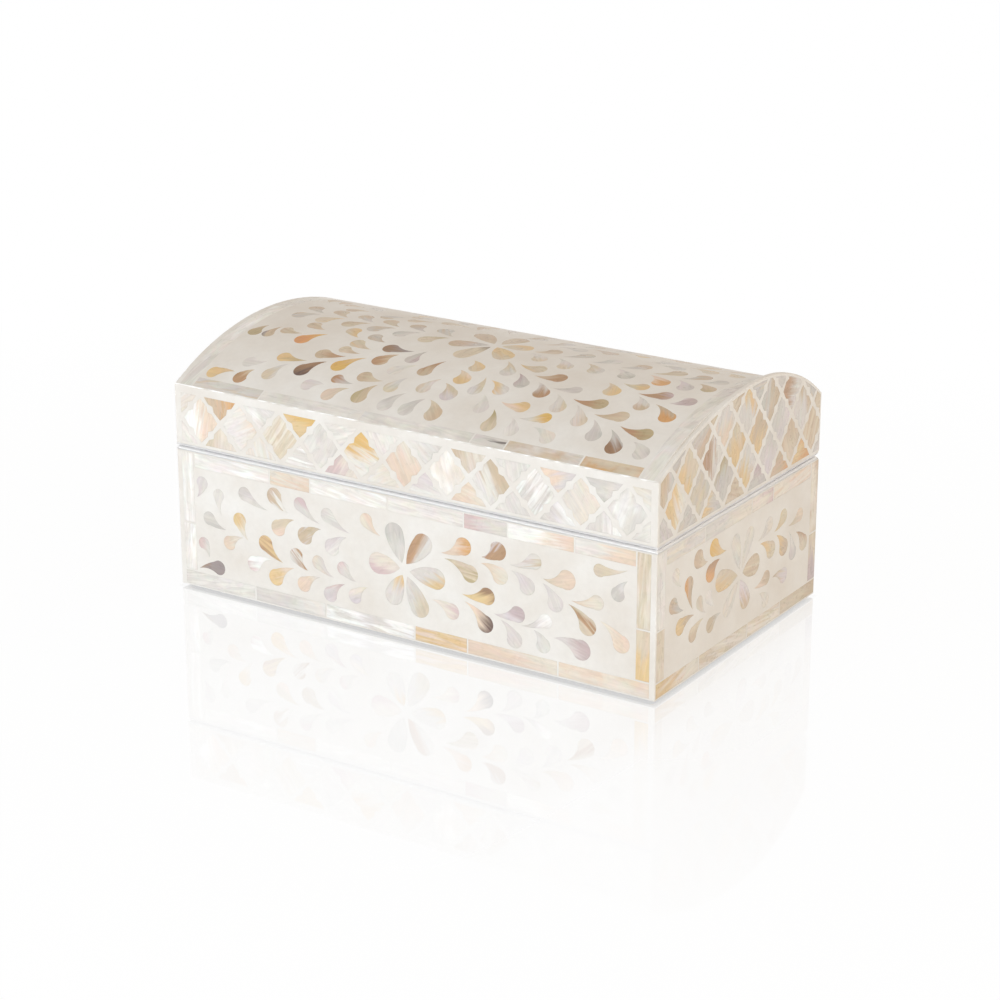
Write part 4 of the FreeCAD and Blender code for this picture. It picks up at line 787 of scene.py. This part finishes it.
white = worked(tree, "MAXIMUM", seen, mirrored)
glow = add(tree, "Emission", {"Color": (1, 1, 1, 1), "Strength": 1.0}).outputs[0]
plain = add(tree, "MixShader", {0: white, 1: shader.outputs[0], 2: glow}).outputs[0]
polish = add(tree, "BsdfGlossy", {"Color": (1, 1, 1, 1), "Roughness": 0.03}).outputs[0]
shine = worked(tree, "MULTIPLY", ranged(tree, away, 0.0, 0.2, 0.3, 0.0), path["Is Camera Ray"])
beyond_end = add(tree, "SeparateXYZ", {0: outside}).outputs["X"]
shine = worked(tree, "MULTIPLY", shine, ranged(tree, beyond_end, 0.0, 0.02, 1.0, 0.4))
both = add(tree, "MixShader", {0: shine, 1: plain, 2: polish}).outputs[0]
tree.links.new(both, tree.nodes["Material Output"].inputs["Surface"])
table.data.materials.append(top)

world = bpy.data.worlds.new("studio")
bpy.context.scene.world = world
world.use_nodes = True
tree = world.node_tree
path = add(tree, "LightPath").outputs
mirrored = worked(tree, "MAXIMUM", path["Is Glossy Ray"], path["Is Transmission Ray"])
white = worked(tree, "MAXIMUM", path["Is Camera Ray"], mirrored)
room = add(tree, "Background", {"Color": (1.0, 0.945, 0.875, 1), "Strength": 0.52}).outputs[0]
backdrop = add(tree, "Background", {"Color": (1, 1, 1, 1), "Strength": 1.0}).outputs[0]
both = add(tree, "MixShader", {0: white, 1: room, 2: backdrop}).outputs[0]
tree.links.new(both, tree.nodes["World Output"].inputs["Surface"])


def lamp(name, place, target, size, power, colour):
    """A soft rectangular lamp, turned towards a point."""
    light = bpy.data.lights.new(name, "AREA")
    light.shape = "RECTANGLE"
    light.size, light.size_y = size
    light.energy = power
    light.color = colour
    stand = bpy.data.objects.new(name, light)
    bpy.context.collection.objects.link(stand)
    stand.location = place
    stand.rotation_euler = (Vector(target) - Vector(place)).to_track_quat("-Z", "Y").to_euler()


lamp("front_lamp", (-0.55, -1.6, 0.38), (0, 0, 0.05), size=(1.3, 0.6), power=15,
     colour=(0.89, 0.945, 1.0))
lamp("right_lamp", (1.6, -0.45, 0.45), (0, 0, 0.05), size=(0.9, 0.6), power=8.1,
     colour=(1.0, 0.92, 0.82))
lamp("back_lamp", (0.2, 1.3, 1.3), (0, 0, 0.08), size=(1.2, 0.8), power=5.5,
     colour=(1.0, 0.66, 0.33))

camera = bpy.data.objects.new("camera", bpy.data.cameras.new("camera"))
bpy.context.collection.objects.link(camera)
camera.location = (0.581785, -0.898904, 0.42312)
camera.rotation_euler = Vector((-0.51050, 0.79117, -0.33682)).to_track_quat("-Z", "Y").to_euler()
camera.data.sensor_width = 36
camera.data.lens = 98.3
bpy.context.scene.camera = camera
bpy.context.scene.view_settings.view_transform = "Standard"
